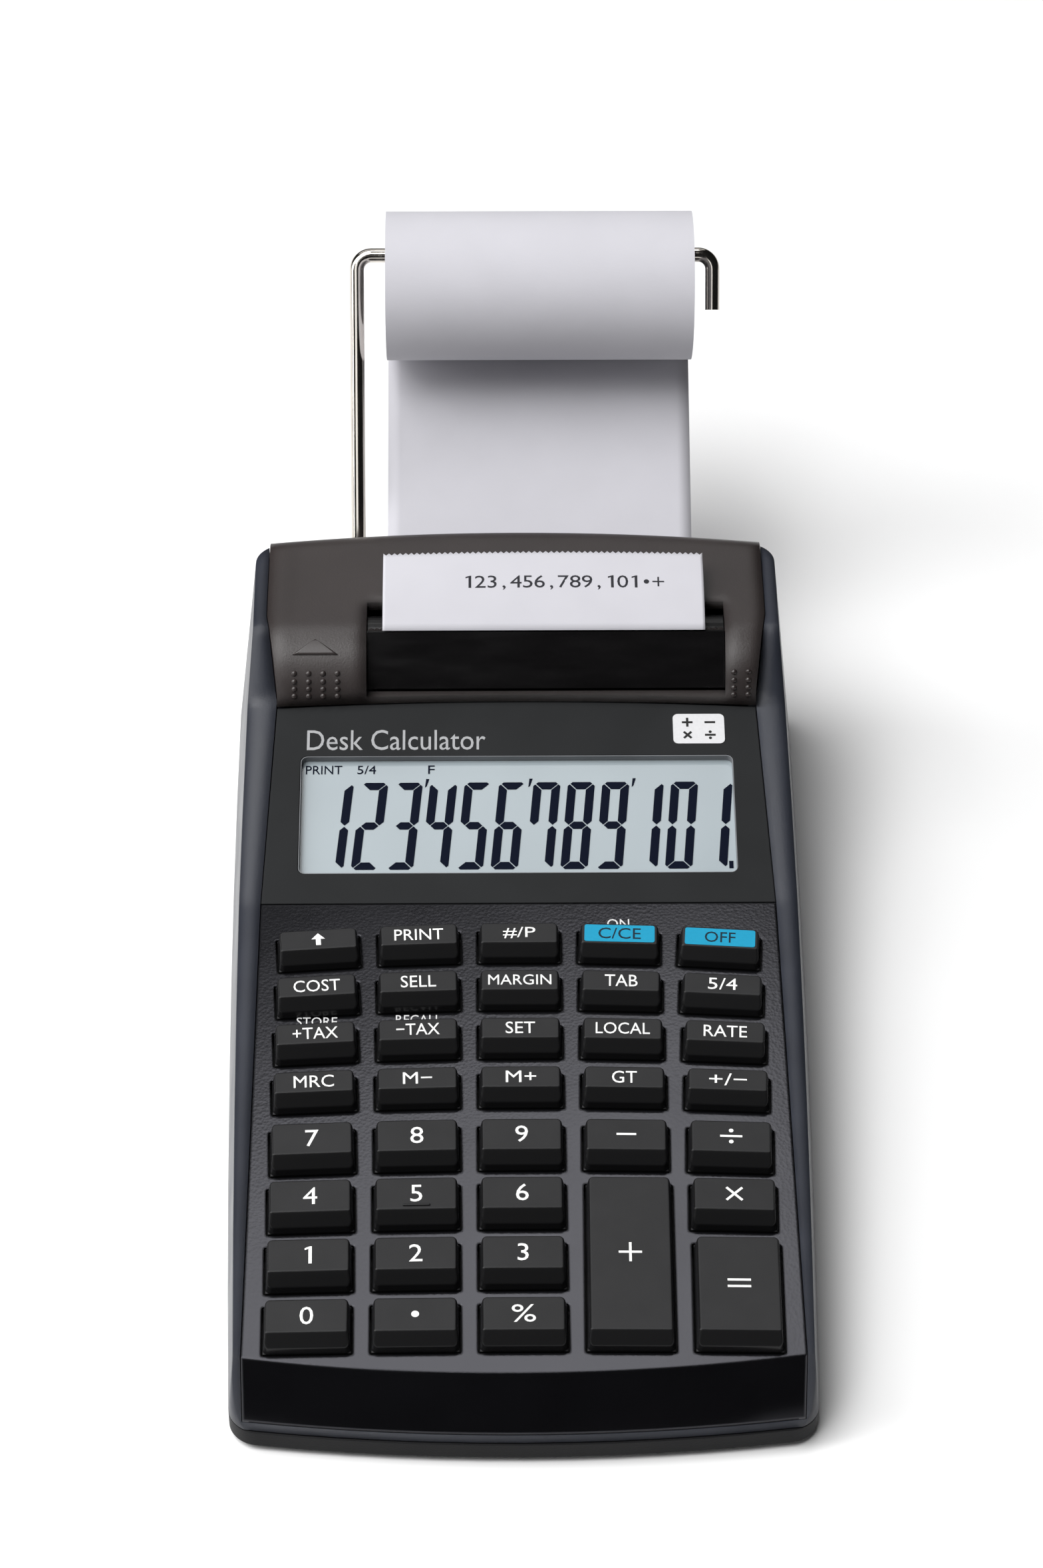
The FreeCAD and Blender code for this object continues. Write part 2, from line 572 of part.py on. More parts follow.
def keycap(name, depth):
    """One size of key about its own middle, with Z = 0 at the deck's face."""
    half_wide, half_deep = "((column_pitch - column_gap) / 2)", f"({depth} / 2)"
    body = new_body(name + "_cap")
    corners = [("-" + half_wide, "-" + half_deep), (half_wide, "-" + half_deep),
               (half_wide, half_deep), ("-" + half_wide, half_deep)]
    raised = pad(body, outline(body, name + "_base", "XY_Plane", corners), "key_height", "-key_draft")
    doc.recompute()
    uprights = [f"Edge{i}" for i, e in enumerate(raised.Shape.Edges, 1)
                if abs(e.Vertexes[0].Z - e.Vertexes[-1].Z) > 0.5]
    corner = body.newObject("PartDesign::Fillet", name + "_corners")
    corner.Base = (raised, uprights)
    bind(corner, "Radius", "key_corner")
    lean = "key_band * tan(key_draft)"
    crease = f"-{half_deep} + {lean} + key_facet"
    waste = [(f"-{half_deep} - 1", "key_band"), (f"-{half_deep} + {lean}", "key_band"),
             (crease, "key_height"), (f"{half_deep} + 1", "key_height - key_back_drop"),
             (f"{half_deep} + 1", "key_height + 3"), (f"-{half_deep} - 1", "key_height + 3")]
    facet = body.newObject("PartDesign::Pocket", name + "_facet")
    facet.Profile = outline(body, name + "_waste", "YZ_Plane", waste)
    bind(facet, "Length", "(column_pitch - column_gap) * 2")
    facet.Midplane = True
    doc.recompute()
    tops = []
    for index, edge in enumerate(facet.Shape.Edges, start=1):
        heights = [edge.valueAt(t).z for t in (edge.FirstParameter, edge.LastParameter)]
        if min(heights) > number("key_band") - 0.2:
            tops.append(f"Edge{index}")
    softened = body.newObject("PartDesign::Fillet", name + "_edges")
    softened.Base = (facet, tops)
    bind(softened, "Radius", "key_round")
    shaft = box(name + "_shaft", ("-" + half_wide + " + 0.05", "-" + half_deep + " + 0.05", "-key_below"),
                (half_wide + " - 0.05", half_deep + " - 0.05", "0.05"))
    reach = "flange_reach"
    flange = box(name + "_flange", (f"-{half_wide} - {reach}", f"-{half_deep} - {reach}", "-key_below - flange_thick"),
                 (f"{half_wide} + {reach}", f"{half_deep} + {reach}", "-key_below"))
    stem = box(name + "_stem", ("-stem_size / 2", "-stem_size / 2", "-" + KEY_HANG),
               ("stem_size / 2", "stem_size / 2", "-key_below - flange_thick"))
    return fused(name, [body, shaft, flange, stem])


def key_hole(name, depth):
    """The hole that a key comes through: the key's base and the gap round it."""
    half_wide, half_deep = "((column_pitch - column_gap) / 2 + key_gap)", f"({depth} / 2 + key_gap)"
    corners = [("-" + half_wide, "-" + half_deep), (half_wide, "-" + half_deep),
               (half_wide, half_deep), ("-" + half_wide, half_deep)]
    body = new_body(name)
    plan = outline(body, name + "_plan", "XY_Plane", corners, lift="-deck_plate - 1")
    raised = pad(body, plan, "deck_plate + 2")
    doc.recompute()
    uprights = [f"Edge{i}" for i, e in enumerate(raised.Shape.Edges, 1)
                if abs(e.Vertexes[0].Z - e.Vertexes[-1].Z) > 0.5]
    corner = body.newObject("PartDesign::Fillet", name + "_corners")
    corner.Base = (raised, uprights)
    bind(corner, "Radius", "key_gap + 0.1")
    return body


def build_keys():
    """All the keys, and the tools that cut their holes."""
    sizes = {}
    for row, span in ((NUMBER_ROWS, 1), (0, 1), (1, 2), (2, 3)):
        depth = key_depth(row, span)
        name = f"keycap_{'function' if row >= NUMBER_ROWS else 'number'}_{span}"
        sizes[(row >= NUMBER_ROWS, span)] = (keycap(name, depth), key_hole(name + "_hole", depth))
    holes = []
    for row, names in enumerate(KEY_NAMES):
        for column, name in enumerate(names):
            if not name:
                continue
            span = KEY_SPANS.get(name, 1)
            cap, hole = sizes[(row >= NUMBER_ROWS, span)]
            seat = key_seat(row, column, span)
            holes.append(copied(hole, "hole_" + name, seat))
            keep(copied(cap, "cap_" + name, seat), "key_" + name)
    return holes


def build_deck(holes):
    gap = "seam_gap"
    reach = f"{DECK_END_BACK} - 0.1"
    full = slab("deck_full", [("-10", f"{APRON_FOOT} + seat_gap"),
                              ("-10", "crease_height - (10 + crease_back) * tan(deck_tilt)"),
                              (reach, f"crease_height + ({reach} - crease_back) * tan(deck_tilt)"),
                              (reach, f"{APRON_FOOT} + seat_gap")])
    full = common("deck_bowed", full, apron_cone("deck_apron", "parting_height", "0"))
    core_height = "crease_height - deck_plate / cos(deck_tilt)"
    core = slab("deck_core", [("-10", "0"), ("-10", f"{core_height} - (10 + crease_back) * tan(deck_tilt)"),
                              ("case_length", f"{core_height} + (case_length - crease_back) * tan(deck_tilt)"),
                              ("case_length", "0")])
    core = common("deck_core_bowed", core, apron_cone("deck_apron_inside", "parting_height - 2", "apron_wall"))
    plate = common("deck_plate_cut", cut("deck_shell", full, core),
                   block("deck_plan", seam_plan(gap), "0", "60"))
    return keep(cut("deck", plate, fused("key_holes", holes)), "key_deck")


def build_key_electrics():
    """The rubber mat with a dome under each key, and the board below it."""
    mat = [primitive("Box", "mat_sheet", ("-board_half_width", "5", "-" + MAT_DEPTH + " - mat_thick"),
                     Length="2 * board_half_width", Width="deck_length - 12", Height="mat_thick")]
    flat = deck_place().inverse()
    for row, names in enumerate(KEY_NAMES):
        for column, name in enumerate(names):
            if name:
                seat = flat.multiply(key_seat(row, column, KEY_SPANS.get(name, 1)))
                dome = primitive("Cone", "dome_" + name, (repr(seat.Base.x), repr(seat.Base.y), "-" + MAT_DEPTH + " - 0.1"),
                                 Radius1="2.6", Radius2="1.6", Height="dome_height + 0.1")
                mat.append(dome)
    keep(fused("mat", mat), "key_mat", deck_place())
    board = primitive("Box", "board_sheet", ("-board_half_width", "5", "-" + BOARD_DEPTH + " - board_thick"),
                      Length="2 * board_half_width", Width="deck_length - 12", Height="board_thick")
    chips = [box(f"chip_{i}", (x, y, f"-{BOARD_DEPTH} - board_thick - 1.4"),
                 (f"{x} + {w}", f"{y} + {d}", f"-{BOARD_DEPTH} - board_thick"))
             for i, (x, y, w, d) in enumerate((("-7", "50", "14", "14"), ("-28", "62", "7", "5"), ("18", "60", "9", "6")))]
    keep(fused("board", [board] + chips), "main_board", deck_place())


# ---------------------------------------------------------------- the display

def build_display():
    body = new_body("panel")
    near, far = "(deck_half_width - seam_gap)", "(display_half_width - seam_gap)"
    end = "(display_length - 1.2)"
    corners = [("-" + near, "0.1"), (near, "0.1"), (far, end), ("-" + far, end)]
    pad(body, outline(body, "panel_plan", "XY_Plane", corners, {2: "720"}), "display_plate", down=True)
    half = "(window_width / 2)"
    window = [("-" + half, "window_front"), (half, "window_front"),
              (half, "window_front + window_depth"), ("-" + half, "window_front + window_depth")]
    hole = body.newObject("PartDesign::Pocket", "panel_window")
    hole.Profile = outline(body, "window_plan", "XY_Plane", window)
    bind(hole, "Length", "display_plate * 2")
    doc.recompute()
    uprights = []
    for index, edge in enumerate(hole.Shape.Edges, start=1):
        first, last = edge.Vertexes[0].Point, edge.Vertexes[-1].Point
        inside = abs(first.x) < number("window_width / 2") + 0.1 and first.y > 1
        if abs(first.z - last.z) > 0.5 and inside:
            uprights.append(f"Edge{index}")
    corner = body.newObject("PartDesign::Fillet", "window_corners")
    corner.Base = (hole, uprights)
    bind(corner, "Radius", "window_round")
    back, height = on_display("0", "0")
    place = FreeCAD.Placement(POINT(0, number(back), number(height)),
                              turned(POINT(1, 0, 0), number("display_tilt")))
    keep(body, "display_panel", place)

    middle = "(window_front + window_depth / 2)"
    glass = box("glass", ("-glass_width / 2", f"{middle} - glass_depth / 2", "-display_plate - 0.05 - glass_thick"),
                ("glass_width / 2", f"{middle} + glass_depth / 2", "-display_plate - 0.05"))
    tray = box("glass_tray", ("-glass_width / 2 + 3", f"{middle} - glass_depth / 2 + 3", "-display_plate - 1.2 - glass_thick"),
               ("glass_width / 2 - 3", f"{middle} + glass_depth / 2 - 3", "-display_plate - glass_thick"))
    keep(fused("module", [glass, tray]), "lcd_module", place)


# ---------------------------------------------------------------- the printer cover

def cover_profile(wall):
    """The cover seen from the side: a low lip, a bowed nose, a flat top and a rounded rear."""
    lip = f"{DISPLAY_END_BACK} - 1.2 + {wall}"
    rear = f"case_length - 1.4 - {wall}"
    crest = f"cover_crest - {wall}"
    foot = COVER_BASE if wall == "0" else f"{COVER_BASE} - 1"
    return ([(lip, foot), (lip, f"{COVER_BASE} + 0.8"),
             (f"cover_shoulder_back + 0.5 * {wall}", f"{crest} - 0.7"), (f"{rear} - cover_rear_drop", crest),
             (f"{rear} + 20", crest), (f"{rear} + 20", foot)],
            {1: "-cover_nose_round"})


def cover_rear(name, wall):
    """What the cover's rear stays inside: a bow in plan whose top edge is rounded all along it."""
    reach = f"rear_radius - 1.4 - {wall}"
    axis = ("0", "case_length - rear_radius")
    edge = f"cover_crest - {wall} - cover_rear_drop"
    return fused(name, [
        primitive("Cylinder", name + "_core", (*axis, "0"), Radius=f"{reach} - cover_rear_drop", Height="80"),
        primitive("Cylinder", name + "_rim", (*axis, "0"), Radius=reach, Height=edge),
        primitive("Torus", name + "_edge", (*axis, edge), Radius1=f"{reach} - cover_rear_drop",
                  Radius2="cover_rear_drop")])


def build_cover():
    corners, arcs = cover_profile("0")
    outside = common("cover_outside", slab("cover_block", corners, arcs),
                     block("cover_plan", seam_plan("seam_gap"), "0", "60"))
    lip = primitive("Cylinder", "cover_lip_bow", ("0", f"{DISPLAY_END_BACK} - 720", "0"), Radius="720", Height="80")
    outside = cut("cover_lipped", common("cover_bowed", outside, cover_rear("cover_rear", "0")), lip)
    corners, arcs = cover_profile("cover_wall")
    half = "(display_half_width - seam_gap - cover_wall)"
    hollow = common("cover_hollow", slab("cover_core", corners, arcs, f"2 * {half}"),
                    cover_rear("cover_core_rear", "cover_wall"))
    mouth = box("mouth", ("-mouth_left", "mouth_front - 4", f"{COVER_BASE} + 1.6"), ("mouth_right", "mouth_back", "60"))
    shell = cut("cover_shell", cut("cover_case", outside, hollow), mouth)
    keep(shell, "printer_cover")

    low = ("mouth_front + 0.1", f"{COVER_BASE} + 1.7")
    high = ("cover_shoulder_back - 1.4", "cover_crest - 1")
    teeth = new_body("bar_body")
    corners = [low, (f"{low[0]} + bar_thick * 0.7", f"{low[1]}"), (f"{high[0]} + bar_thick", f"{high[1]} - 0.7"), high]
    pad(teeth, outline(teeth, "bar_profile", "YZ_Plane", corners), "mouth_left + mouth_right - 0.2", both_ways=True)
    teeth.Placement.Base.x = number("(mouth_right - mouth_left) / 2")
    keep(teeth, "tear_bar")


# ---------------------------------------------------------------- batteries and socket

def build_power():
    front = "(well_front + well_wall + well_spare)"
    height = f"({FLOOR_TOP} + cell_radius + 0.1)"
    cells, plates = [], []
    for i in range(4):
        x = f"{i - 1.5} * cell_pitch"
        can = primitive("Cylinder", f"can_{i}", (x, front, height), ALONG_Y, Radius="cell_radius",
                        Height="cell_length - 1.4")
        nub = primitive("Cylinder", f"nub_{i}", (x, f"{front} - 0.1" if i % 2 else f"{front} + cell_length - 1.5", height),
                        ALONG_Y, Radius="2.6", Height="1.5")
        if i % 2:
            can.setExpression("Placement.Base.y", bound(f"{front} + 1.4"))
        cells.append(fused(f"cell_{i}", [can, nub]))
        for end, place in (("front", "well_front + well_wall + 0.1"), ("rear", f"{WELL_BACK} - well_wall - 0.5")):
            plates.append(box(f"contact_{end}_{i}", (f"{x} - 4.5", place, f"{height} - 4.5"),
                              (f"{x} + 4.5", f"{place} + 0.4", f"{height} + 4.5")))
    keep(grouped("cells", cells), "battery_cells")
    keep(grouped("contacts", plates), "battery_contacts")

    door = box("door_plate", (f"-{DOOR_HALF}", DOOR_FRONT, "foot_height"),
               (DOOR_HALF, DOOR_BACK, "foot_height + door_thick"))
    grips = [box(f"door_grip_{i}", ("-9", f"{DOOR_BACK} - {4 + 2 * i}", "0"),
                 ("9", f"{DOOR_BACK} - {3.2 + 2 * i}", "foot_height + 0.5")) for i in range(4)]
    keep(cut("door", door, fused("door_grips", grips)), "battery_door")

    socket = primitive("Cylinder", "socket", ("jack_side", "case_length - jack_length - 1.6", "jack_height"), ALONG_Y,
                       Radius="jack_radius", Height="jack_length")
    bore = primitive("Cylinder", "socket_bore", ("jack_side", "case_length - jack_length + 0.4", "jack_height"), ALONG_Y,
                     Radius="jack_bore", Height="jack_length + 5")
    pin = primitive("Cylinder", "socket_pin", ("jack_side", "case_length - jack_length", "jack_height"), ALONG_Y,
                    Radius="1", Height="jack_length - 3")
    keep(fused("jack", [cut("socket_bored", socket, bore), pin]), "adapter_socket")


# ---------------------------------------------------------------- printer and paper

PLATEN_BACK = "(case_length - platen_inset)"
DRUM_BACK = f"({PLATEN_BACK} - platen_radius - roller_gap - drum_radius)"
INK_BACK = f"({DRUM_BACK} - drum_radius - roller_gap - ink_radius)"
PLATE_LEFT = f"({PAPER_LOW} - 3)"
PLATE_RIGHT = f"({PAPER_HIGH} + 3)"


def build_printer():
    rollers = [("feed_roller", "platen_radius", PLATEN_BACK, "3"), ("print_drum", "drum_radius", DRUM_BACK, "1"),
               ("ink_roller", "ink_radius", INK_BACK, "2")]
    bores = []
    for name, radius, back, margin in rollers:
        drum = rod(name + "_drum", radius, f"{PLATE_LEFT} + side_plate + {margin} - 0.5",
                   f"{PLATE_RIGHT} - side_plate - {margin} + 0.5", back, "roller_height")
        shaft = rod(name + "_shaft", "shaft_radius", f"{PLATE_LEFT} - 1.5", f"{PLATE_RIGHT} + 1.5", back, "roller_height")
        keep(fused(name + "_body", [drum, shaft]), name)
        bores.append(rod(name + "_bore", "shaft_radius + shaft_clearance", f"{PLATE_LEFT} - 5", f"{PLATE_RIGHT} + 5",
                         back, "roller_height"))
    low_y, high_y = f"{INK_BACK} - frame_margin", f"{PLATEN_BACK} + platen_radius + 1"
    sheets = [box("frame_floor", (PLATE_LEFT, low_y, FRAME_BASE), (PLATE_RIGHT, high_y, f"{FRAME_BASE} + side_plate"))]
    for name, x in (("frame_left", PLATE_LEFT), ("frame_right", f"{PLATE_RIGHT} - side_plate")):
        sheets.append(box(name, (x, low_y, FRAME_BASE), (f"{x} + side_plate", high_y, "roller_height + 6")))
    keep(cut("frame", fused("frame_sheets", sheets), fused("frame_bores", bores)), "printer_frame")


def build_paper():
    roll = cut("roll", rod("roll_outside", "roll_radius", PAPER_LOW, PAPER_HIGH, "case_length + roll_reach", "roll_height"),
               rod("roll_inside", "roll_hole", f"{PAPER_LOW} - 1", f"{PAPER_HIGH} + 1", "case_length + roll_reach", "roll_height"))
    keep(roll, "paper_roll")

    start = WEB_START
    end = ("case_length - 5", f"{WEB_ENTRY} - 5 * tan(web_slope)")
    shift = ("paper_thick * sin(web_slope)", "-paper_thick * cos(web_slope)")
    web = new_body("web")
    corners = [start, end, (f"{end[0]} + {shift[0]}", f"{end[1]} + {shift[1]}"),
               (f"{start[0]} + {shift[0]}", f"{start[1]} + {shift[1]}")]
    pad(web, outline(web, "web_profile", "YZ_Plane", corners), "paper_width", both_ways=True)
    web.Placement.Base.x = number("paper_middle")
    keep(web, "paper_web")

    tape = new_body("tape")
    exit_y, exit_z = "(cover_shoulder_back + 0.6)", "(cover_crest + 0.2)"
    tip = (f"{exit_y} + 15.9", f"{exit_z} + 4.2")
    corners = [(f"{exit_y} + 0.5", f"{COVER_BASE} + 2.5"), (f"{exit_y} + 0.5 + paper_thick", f"{COVER_BASE} + 2.5"),
               (f"{exit_y} + paper_thick", f"{exit_z} - 0.3"), (f"{tip[0]} + 0.07", f"{tip[1]} - paper_thick"), tip,
               (exit_y, exit_z)]
    pad(tape, outline(tape, "tape_profile", "YZ_Plane", corners), "paper_width", both_ways=True)
    tape.Placement.Base.x = number("paper_middle")
    keep(tape, "paper_tape")


def build_holder():
    """The bent wire that carries the roll. The roll hangs on its bar, and its foot is the pivot."""
    hang = "(roll_hole - wire_radius - 0.05)"
    bar_back, bar_height = f"(case_length + roll_reach + {hang} * 0.36)", f"(roll_height + {hang} * 0.93)"
    leg = f"sqrt(({bar_back} - case_length - pivot_reach)^2 + ({bar_height} - pivot_height)^2)"
    lean = math.degrees(math.atan2(number(f"{bar_height} - pivot_height"), number(f"{bar_back} - case_length - pivot_reach")))
    foot_end = "(-wire_side + wire_radius + wire_bend + lug_width + 0.4)"
    turns = [(foot_end, "0"), ("-wire_side", "0"), ("-wire_side", leg), ("hook_side", leg),
             ("hook_side", f"{leg} - hook_length")]
    body = new_body("holder")
    spine = body.newObject("Sketcher::SketchObject", "holder_spine")
    spine.AttachmentSupport = [([f for f in body.Origin.OriginFeatures if f.Role == "XY_Plane"][0], "")]
    spine.MapMode = "FlatFace"
    ends = wire_ends(turns)
    for first, last in zip(ends[::2], ends[1::2]):
        spine.addGeometry(Part.LineSegment(*(POINT(number(x), number(y), 0) for x, y in (first, last))))
    runs = len(turns) - 1
    for i in range(runs):
        for end, (x, y) in ((1, ends[2 * i]), (2, ends[2 * i + 1])):
            for kind, text, letter in (("DistanceX", x, "x"), ("DistanceY", y, "y")):
                key = spine.addConstraint(Sketcher.Constraint(kind, -1, 1, i, end, number(text)))
                spine.renameConstraint(key, f"{letter}{i}_{end}")
                spine.setExpression(f"Constraints.{letter}{i}_{end}", bound(text))
    for i in range(runs - 1):
        bend_arc(spine, i, turns, ends)
    ring = body.newObject("Sketcher::SketchObject", "holder_section")
    ring.AttachmentSupport = [([f for f in body.Origin.OriginFeatures if f.Role == "YZ_Plane"][0], "")]
    ring.MapMode = "FlatFace"
    bind(ring, "AttachmentOffset.Base.z", foot_end)
    ring.addGeometry(Part.Circle(POINT(0, 0, 0), POINT(0, 0, 1), number("wire_radius")))
    ring.addConstraint(Sketcher.Constraint("Coincident", 0, 3, -1, 1))
    key = ring.addConstraint(Sketcher.Constraint("Radius", 0, number("wire_radius")))
    ring.renameConstraint(key, "radius")
    ring.setExpression("Constraints.radius", bound("wire_radius"))
    pipe = body.newObject("PartDesign::AdditivePipe", "holder_wire")
    pipe.Profile = ring
    pipe.Spine = (spine, [])
    keep(body, "paper_holder", FreeCAD.Placement(POINT(0, number("case_length + pivot_reach"), number("pivot_height")),
                                                 turned(POINT(1, 0, 0), lean)))


def wire_ends(turns):
    """The straight runs of the wire, shortened at each bend."""
    values = [(number(x), number(y)) for x, y in turns]
    ends = [turns[0]]
    for i in range(1, len(turns) - 1):
        for other in (i - 1, i + 1):
            x, y = turns[i]
            step_x = values[other][0] - values[i][0]
            step_y = values[other][1] - values[i][1]
            if abs(step_x) > abs(step_y):
                ends.append((f"{x} {'+' if step_x > 0 else '-'} wire_bend", y))
            else:
                ends.append((x, f"{y} {'+' if step_y > 0 else '-'} wire_bend"))
    return ends + [turns[-1]]


def bend_arc(spine, i, turns, ends):
    """The quarter bend between two straight runs."""
    start, end, corner = (POINT(number(x), number(y), 0) for x, y in (ends[2 * i + 1], ends[2 * i + 2], turns[i + 1]))
    centre = start + end - corner
    middle = centre + (corner - centre).normalize() * number("wire_bend")
    leftward = (start - centre).cross(end - centre).z > 0
    first, last = (start, end) if leftward else (end, start)
    arc = spine.addGeometry(Part.Arc(first, middle, last))
    spine.addConstraint(Sketcher.Constraint("Coincident", i, 2, arc, 1 if leftward else 2))
    spine.addConstraint(Sketcher.Constraint("Coincident", i + 1, 1, arc, 2 if leftward else 1))
    key = spine.addConstraint(Sketcher.Constraint("Radius", arc, number("wire_bend")))
    spine.renameConstraint(key, f"bend{i}")
    spine.setExpression(f"Constraints.bend{i}", bound("wire_bend"))


# ---------------------------------------------------------------- the whole object

def check():
    """Stops before anything is written if a feature failed or a sub-part isn't a good solid."""
    for item in doc.Objects:
        if any(word in item.State for word in ("Invalid", "Error")):
            raise RuntimeError(f"{item.Name} failed: {item.State}")
    for item in parts:
        if item.Shape.isNull() or not item.Shape.isValid() or not item.Shape.Solids:
            raise RuntimeError(f"{item.Label} has no valid solid")


def main():
    build_case()
    build_lower_housing()
    build_fasteners()
    build_deck(build_keys())
    build_key_electrics()
    build_display()
    build_cover()
    build_power()
    build_printer()
    build_paper()
    build_holder()
    doc.recompute()
    check()
    os.makedirs("parts", exist_ok=True)
    for item in parts:
        item.Shape.exportStep(os.path.join("parts", item.Label + ".step"))
    print(len(parts), "sub-parts")


main()
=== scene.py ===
"""Desk printing calculator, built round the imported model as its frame."""

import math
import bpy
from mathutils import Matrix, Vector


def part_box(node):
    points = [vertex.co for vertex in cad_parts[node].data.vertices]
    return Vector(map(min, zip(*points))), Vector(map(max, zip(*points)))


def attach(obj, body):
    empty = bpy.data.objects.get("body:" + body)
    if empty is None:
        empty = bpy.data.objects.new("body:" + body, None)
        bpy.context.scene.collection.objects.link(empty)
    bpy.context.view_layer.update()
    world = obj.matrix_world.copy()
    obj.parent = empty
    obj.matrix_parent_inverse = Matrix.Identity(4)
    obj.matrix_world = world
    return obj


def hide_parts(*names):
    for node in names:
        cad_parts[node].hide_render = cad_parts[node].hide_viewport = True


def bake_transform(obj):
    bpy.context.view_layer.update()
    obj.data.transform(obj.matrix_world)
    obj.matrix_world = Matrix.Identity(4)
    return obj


bl_info = {
    "name": "Desk Printing Calculator",
    "version": (1, 0, 0),
    "blender": (4, 5, 0),
    "location": "View3D > Sidebar > Calculator",
    "description": "Builds a desk printing calculator with its paper roll and wire holder",
    "category": "Object",
}

import bmesh
import bpy
from bpy.props import FloatProperty, FloatVectorProperty, IntProperty, PointerProperty, StringProperty
from mathutils import Matrix, Vector
from mathutils.bvhtree import BVHTree

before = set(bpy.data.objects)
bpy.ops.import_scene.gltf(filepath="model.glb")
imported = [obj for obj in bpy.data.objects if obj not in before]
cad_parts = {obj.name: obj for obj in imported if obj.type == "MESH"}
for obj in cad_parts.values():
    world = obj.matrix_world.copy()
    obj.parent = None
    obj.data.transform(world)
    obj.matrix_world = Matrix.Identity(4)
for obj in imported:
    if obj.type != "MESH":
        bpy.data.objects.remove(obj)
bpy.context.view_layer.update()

MM = 0.001
PRINT_DEPTH = 0.03 * MM
# The case's front edge lies this far in front of the frame's origin.
FRONT = -119.7
DECK_TILT = math.radians(5.5)
DECK_CREASE = (5.5, 15.3)
DECK_LENGTH = 95.7
DECK_UP = (0.0, -math.sin(DECK_TILT), math.cos(DECK_TILT))
PANEL_TILT = math.radians(14.0)


def linear(code):
    """An sRGB hex colour as the linear values that shaders take."""
    parts = [int(code[i:i + 2], 16) / 255 for i in (1, 3, 5)]
    return tuple(p / 12.92 if p <= 0.04045 else ((p + 0.055) / 1.055) ** 2.4 for p in parts)


def rgba(colour):
    return (*colour[:3], 1.0)


def shade(colour, factor):
    return tuple(min(1.0, part * factor) for part in colour[:3])


# ------------------------------------------------------------ sizes and colours

def colour(name, description, code):
    return FloatVectorProperty(name=name, description=description, default=linear(code), subtype="COLOR",
                               size=3, min=0.0, max=1.0)


def length(name, description, millimetres):
    return FloatProperty(name=name, description=description, default=millimetres * MM, unit="LENGTH",
                         subtype="DISTANCE", min=0.0, precision=5)


class CaseLook(bpy.types.PropertyGroup):
    shell_colour: colour("Shell", "Blue-grey of the frame round the deck", "#282b34")
    tray_colour: colour("Tray", "Colour of the lower housing", "#0f0f11")
    deck_colour: colour("Deck", "Colour between the keys", "#0d0d0f")
    cover_colour: colour("Cover", "Colour of the printer cover", "#2b2524")
    panel_colour: colour("Panel", "Colour round the display", "#252627")
    grain: length("Grain", "Width of the moulded grain", 0.35)
    leather: length("Leather", "Width of the deck's leather grain", 0.55)


class KeyLook(bpy.types.PropertyGroup):
    key_colour: colour("Key", "Colour of the key tops", "#262627")
    legend_colour: colour("Legend", "Colour of the printed legends", "#f2f2f0")
    label_colour: colour("Label", "Colour of the two labels in the back row", "#0f93b8")
    digit_height: length("Digit height", "Height of the digits", 3.4)
    ink_depth: length("Ink", "Thickness of the printed ink", 0.03)


class DisplayLook(bpy.types.PropertyGroup):
    glass_colour: colour("Glass", "Colour of the display's ground", "#98a2a7")
    ink_colour: colour("Segments", "Colour of the display's segments", "#0a1020")
    digit_pitch: length("Pitch", "Distance between digits", 6.05)
    digit_height: length("Height", "Height of the digits", 18.05)
    digit_width: length("Width", "Width of a digit", 4.75)
    stroke: length("Stroke", "Width of a segment", 1.5)
    lean: FloatProperty(name="Lean", description="Slant of the digits", default=math.radians(5.2),
                        unit="ROTATION", subtype="ANGLE")
    number: StringProperty(name="Number", description="What the display shows", default="123456789101")


class PaperLook(bpy.types.PropertyGroup):
    paper_colour: colour("Paper", "Colour of the paper", "#c2c1c7")
    print_colour: colour("Print", "Colour of the printed line", "#26262c")
    tooth_pitch: length("Tooth pitch", "Distance between the teeth of the tearing edge", 1.0)
    tooth_depth: length("Tooth depth", "Depth of the teeth of the tearing edge", 0.6)
    windings: IntProperty(name="Windings", description="Ridges on the ends of the roll", default=9, min=1)


class StageLook(bpy.types.PropertyGroup):
    floor_colour: colour("Floor", "Colour of the floor", "#f4f4f4")
    focal_length: FloatProperty(name="Focal length", description="Lens of the camera", default=135.46,
                                subtype="DISTANCE_CAMERA")
    sky: FloatProperty(name="Sky", description="Strength of the light from all round", default=0.01, min=0.0)


# ------------------------------------------------------------ nodes and materials

def add(tree, kind, inputs=None, **settings):
    """Adds a node with its settings; an input is a value or the socket that feeds it."""
    node = tree.nodes.new(kind)
    for name, value in settings.items():
        setattr(node, name, value)
    for socket, value in (inputs or {}).items():
        if isinstance(value, bpy.types.NodeSocket):
            tree.links.new(value, node.inputs[socket])
        else:
            node.inputs[socket].default_value = value
    return node


def compute(tree, operation, a, b):
    """One step of arithmetic in a node tree."""
    return add(tree, "ShaderNodeMath", {0: a, 1: b}, operation=operation).outputs[0]


def blank(name, **sockets):
    """A material with a plain shader, set up with the given sockets, and the object's own coordinates."""
    material = bpy.data.materials.new(name)
    material.use_nodes = True
    tree = material.node_tree
    shader = tree.nodes["Principled BSDF"]
    for socket, value in sockets.items():
        shader.inputs[socket.replace("_", " ")].default_value = value
    return material, tree, shader, add(tree, "ShaderNodeTexCoord").outputs["Object"]


def spots(tree, place, width, detail=2.0):
    """Noise whose blotches are about the given width, in millimetres."""
    return add(tree, "ShaderNodeTexNoise", {"Vector": place, "Scale": 1.0 / (width * MM), "Detail": detail})


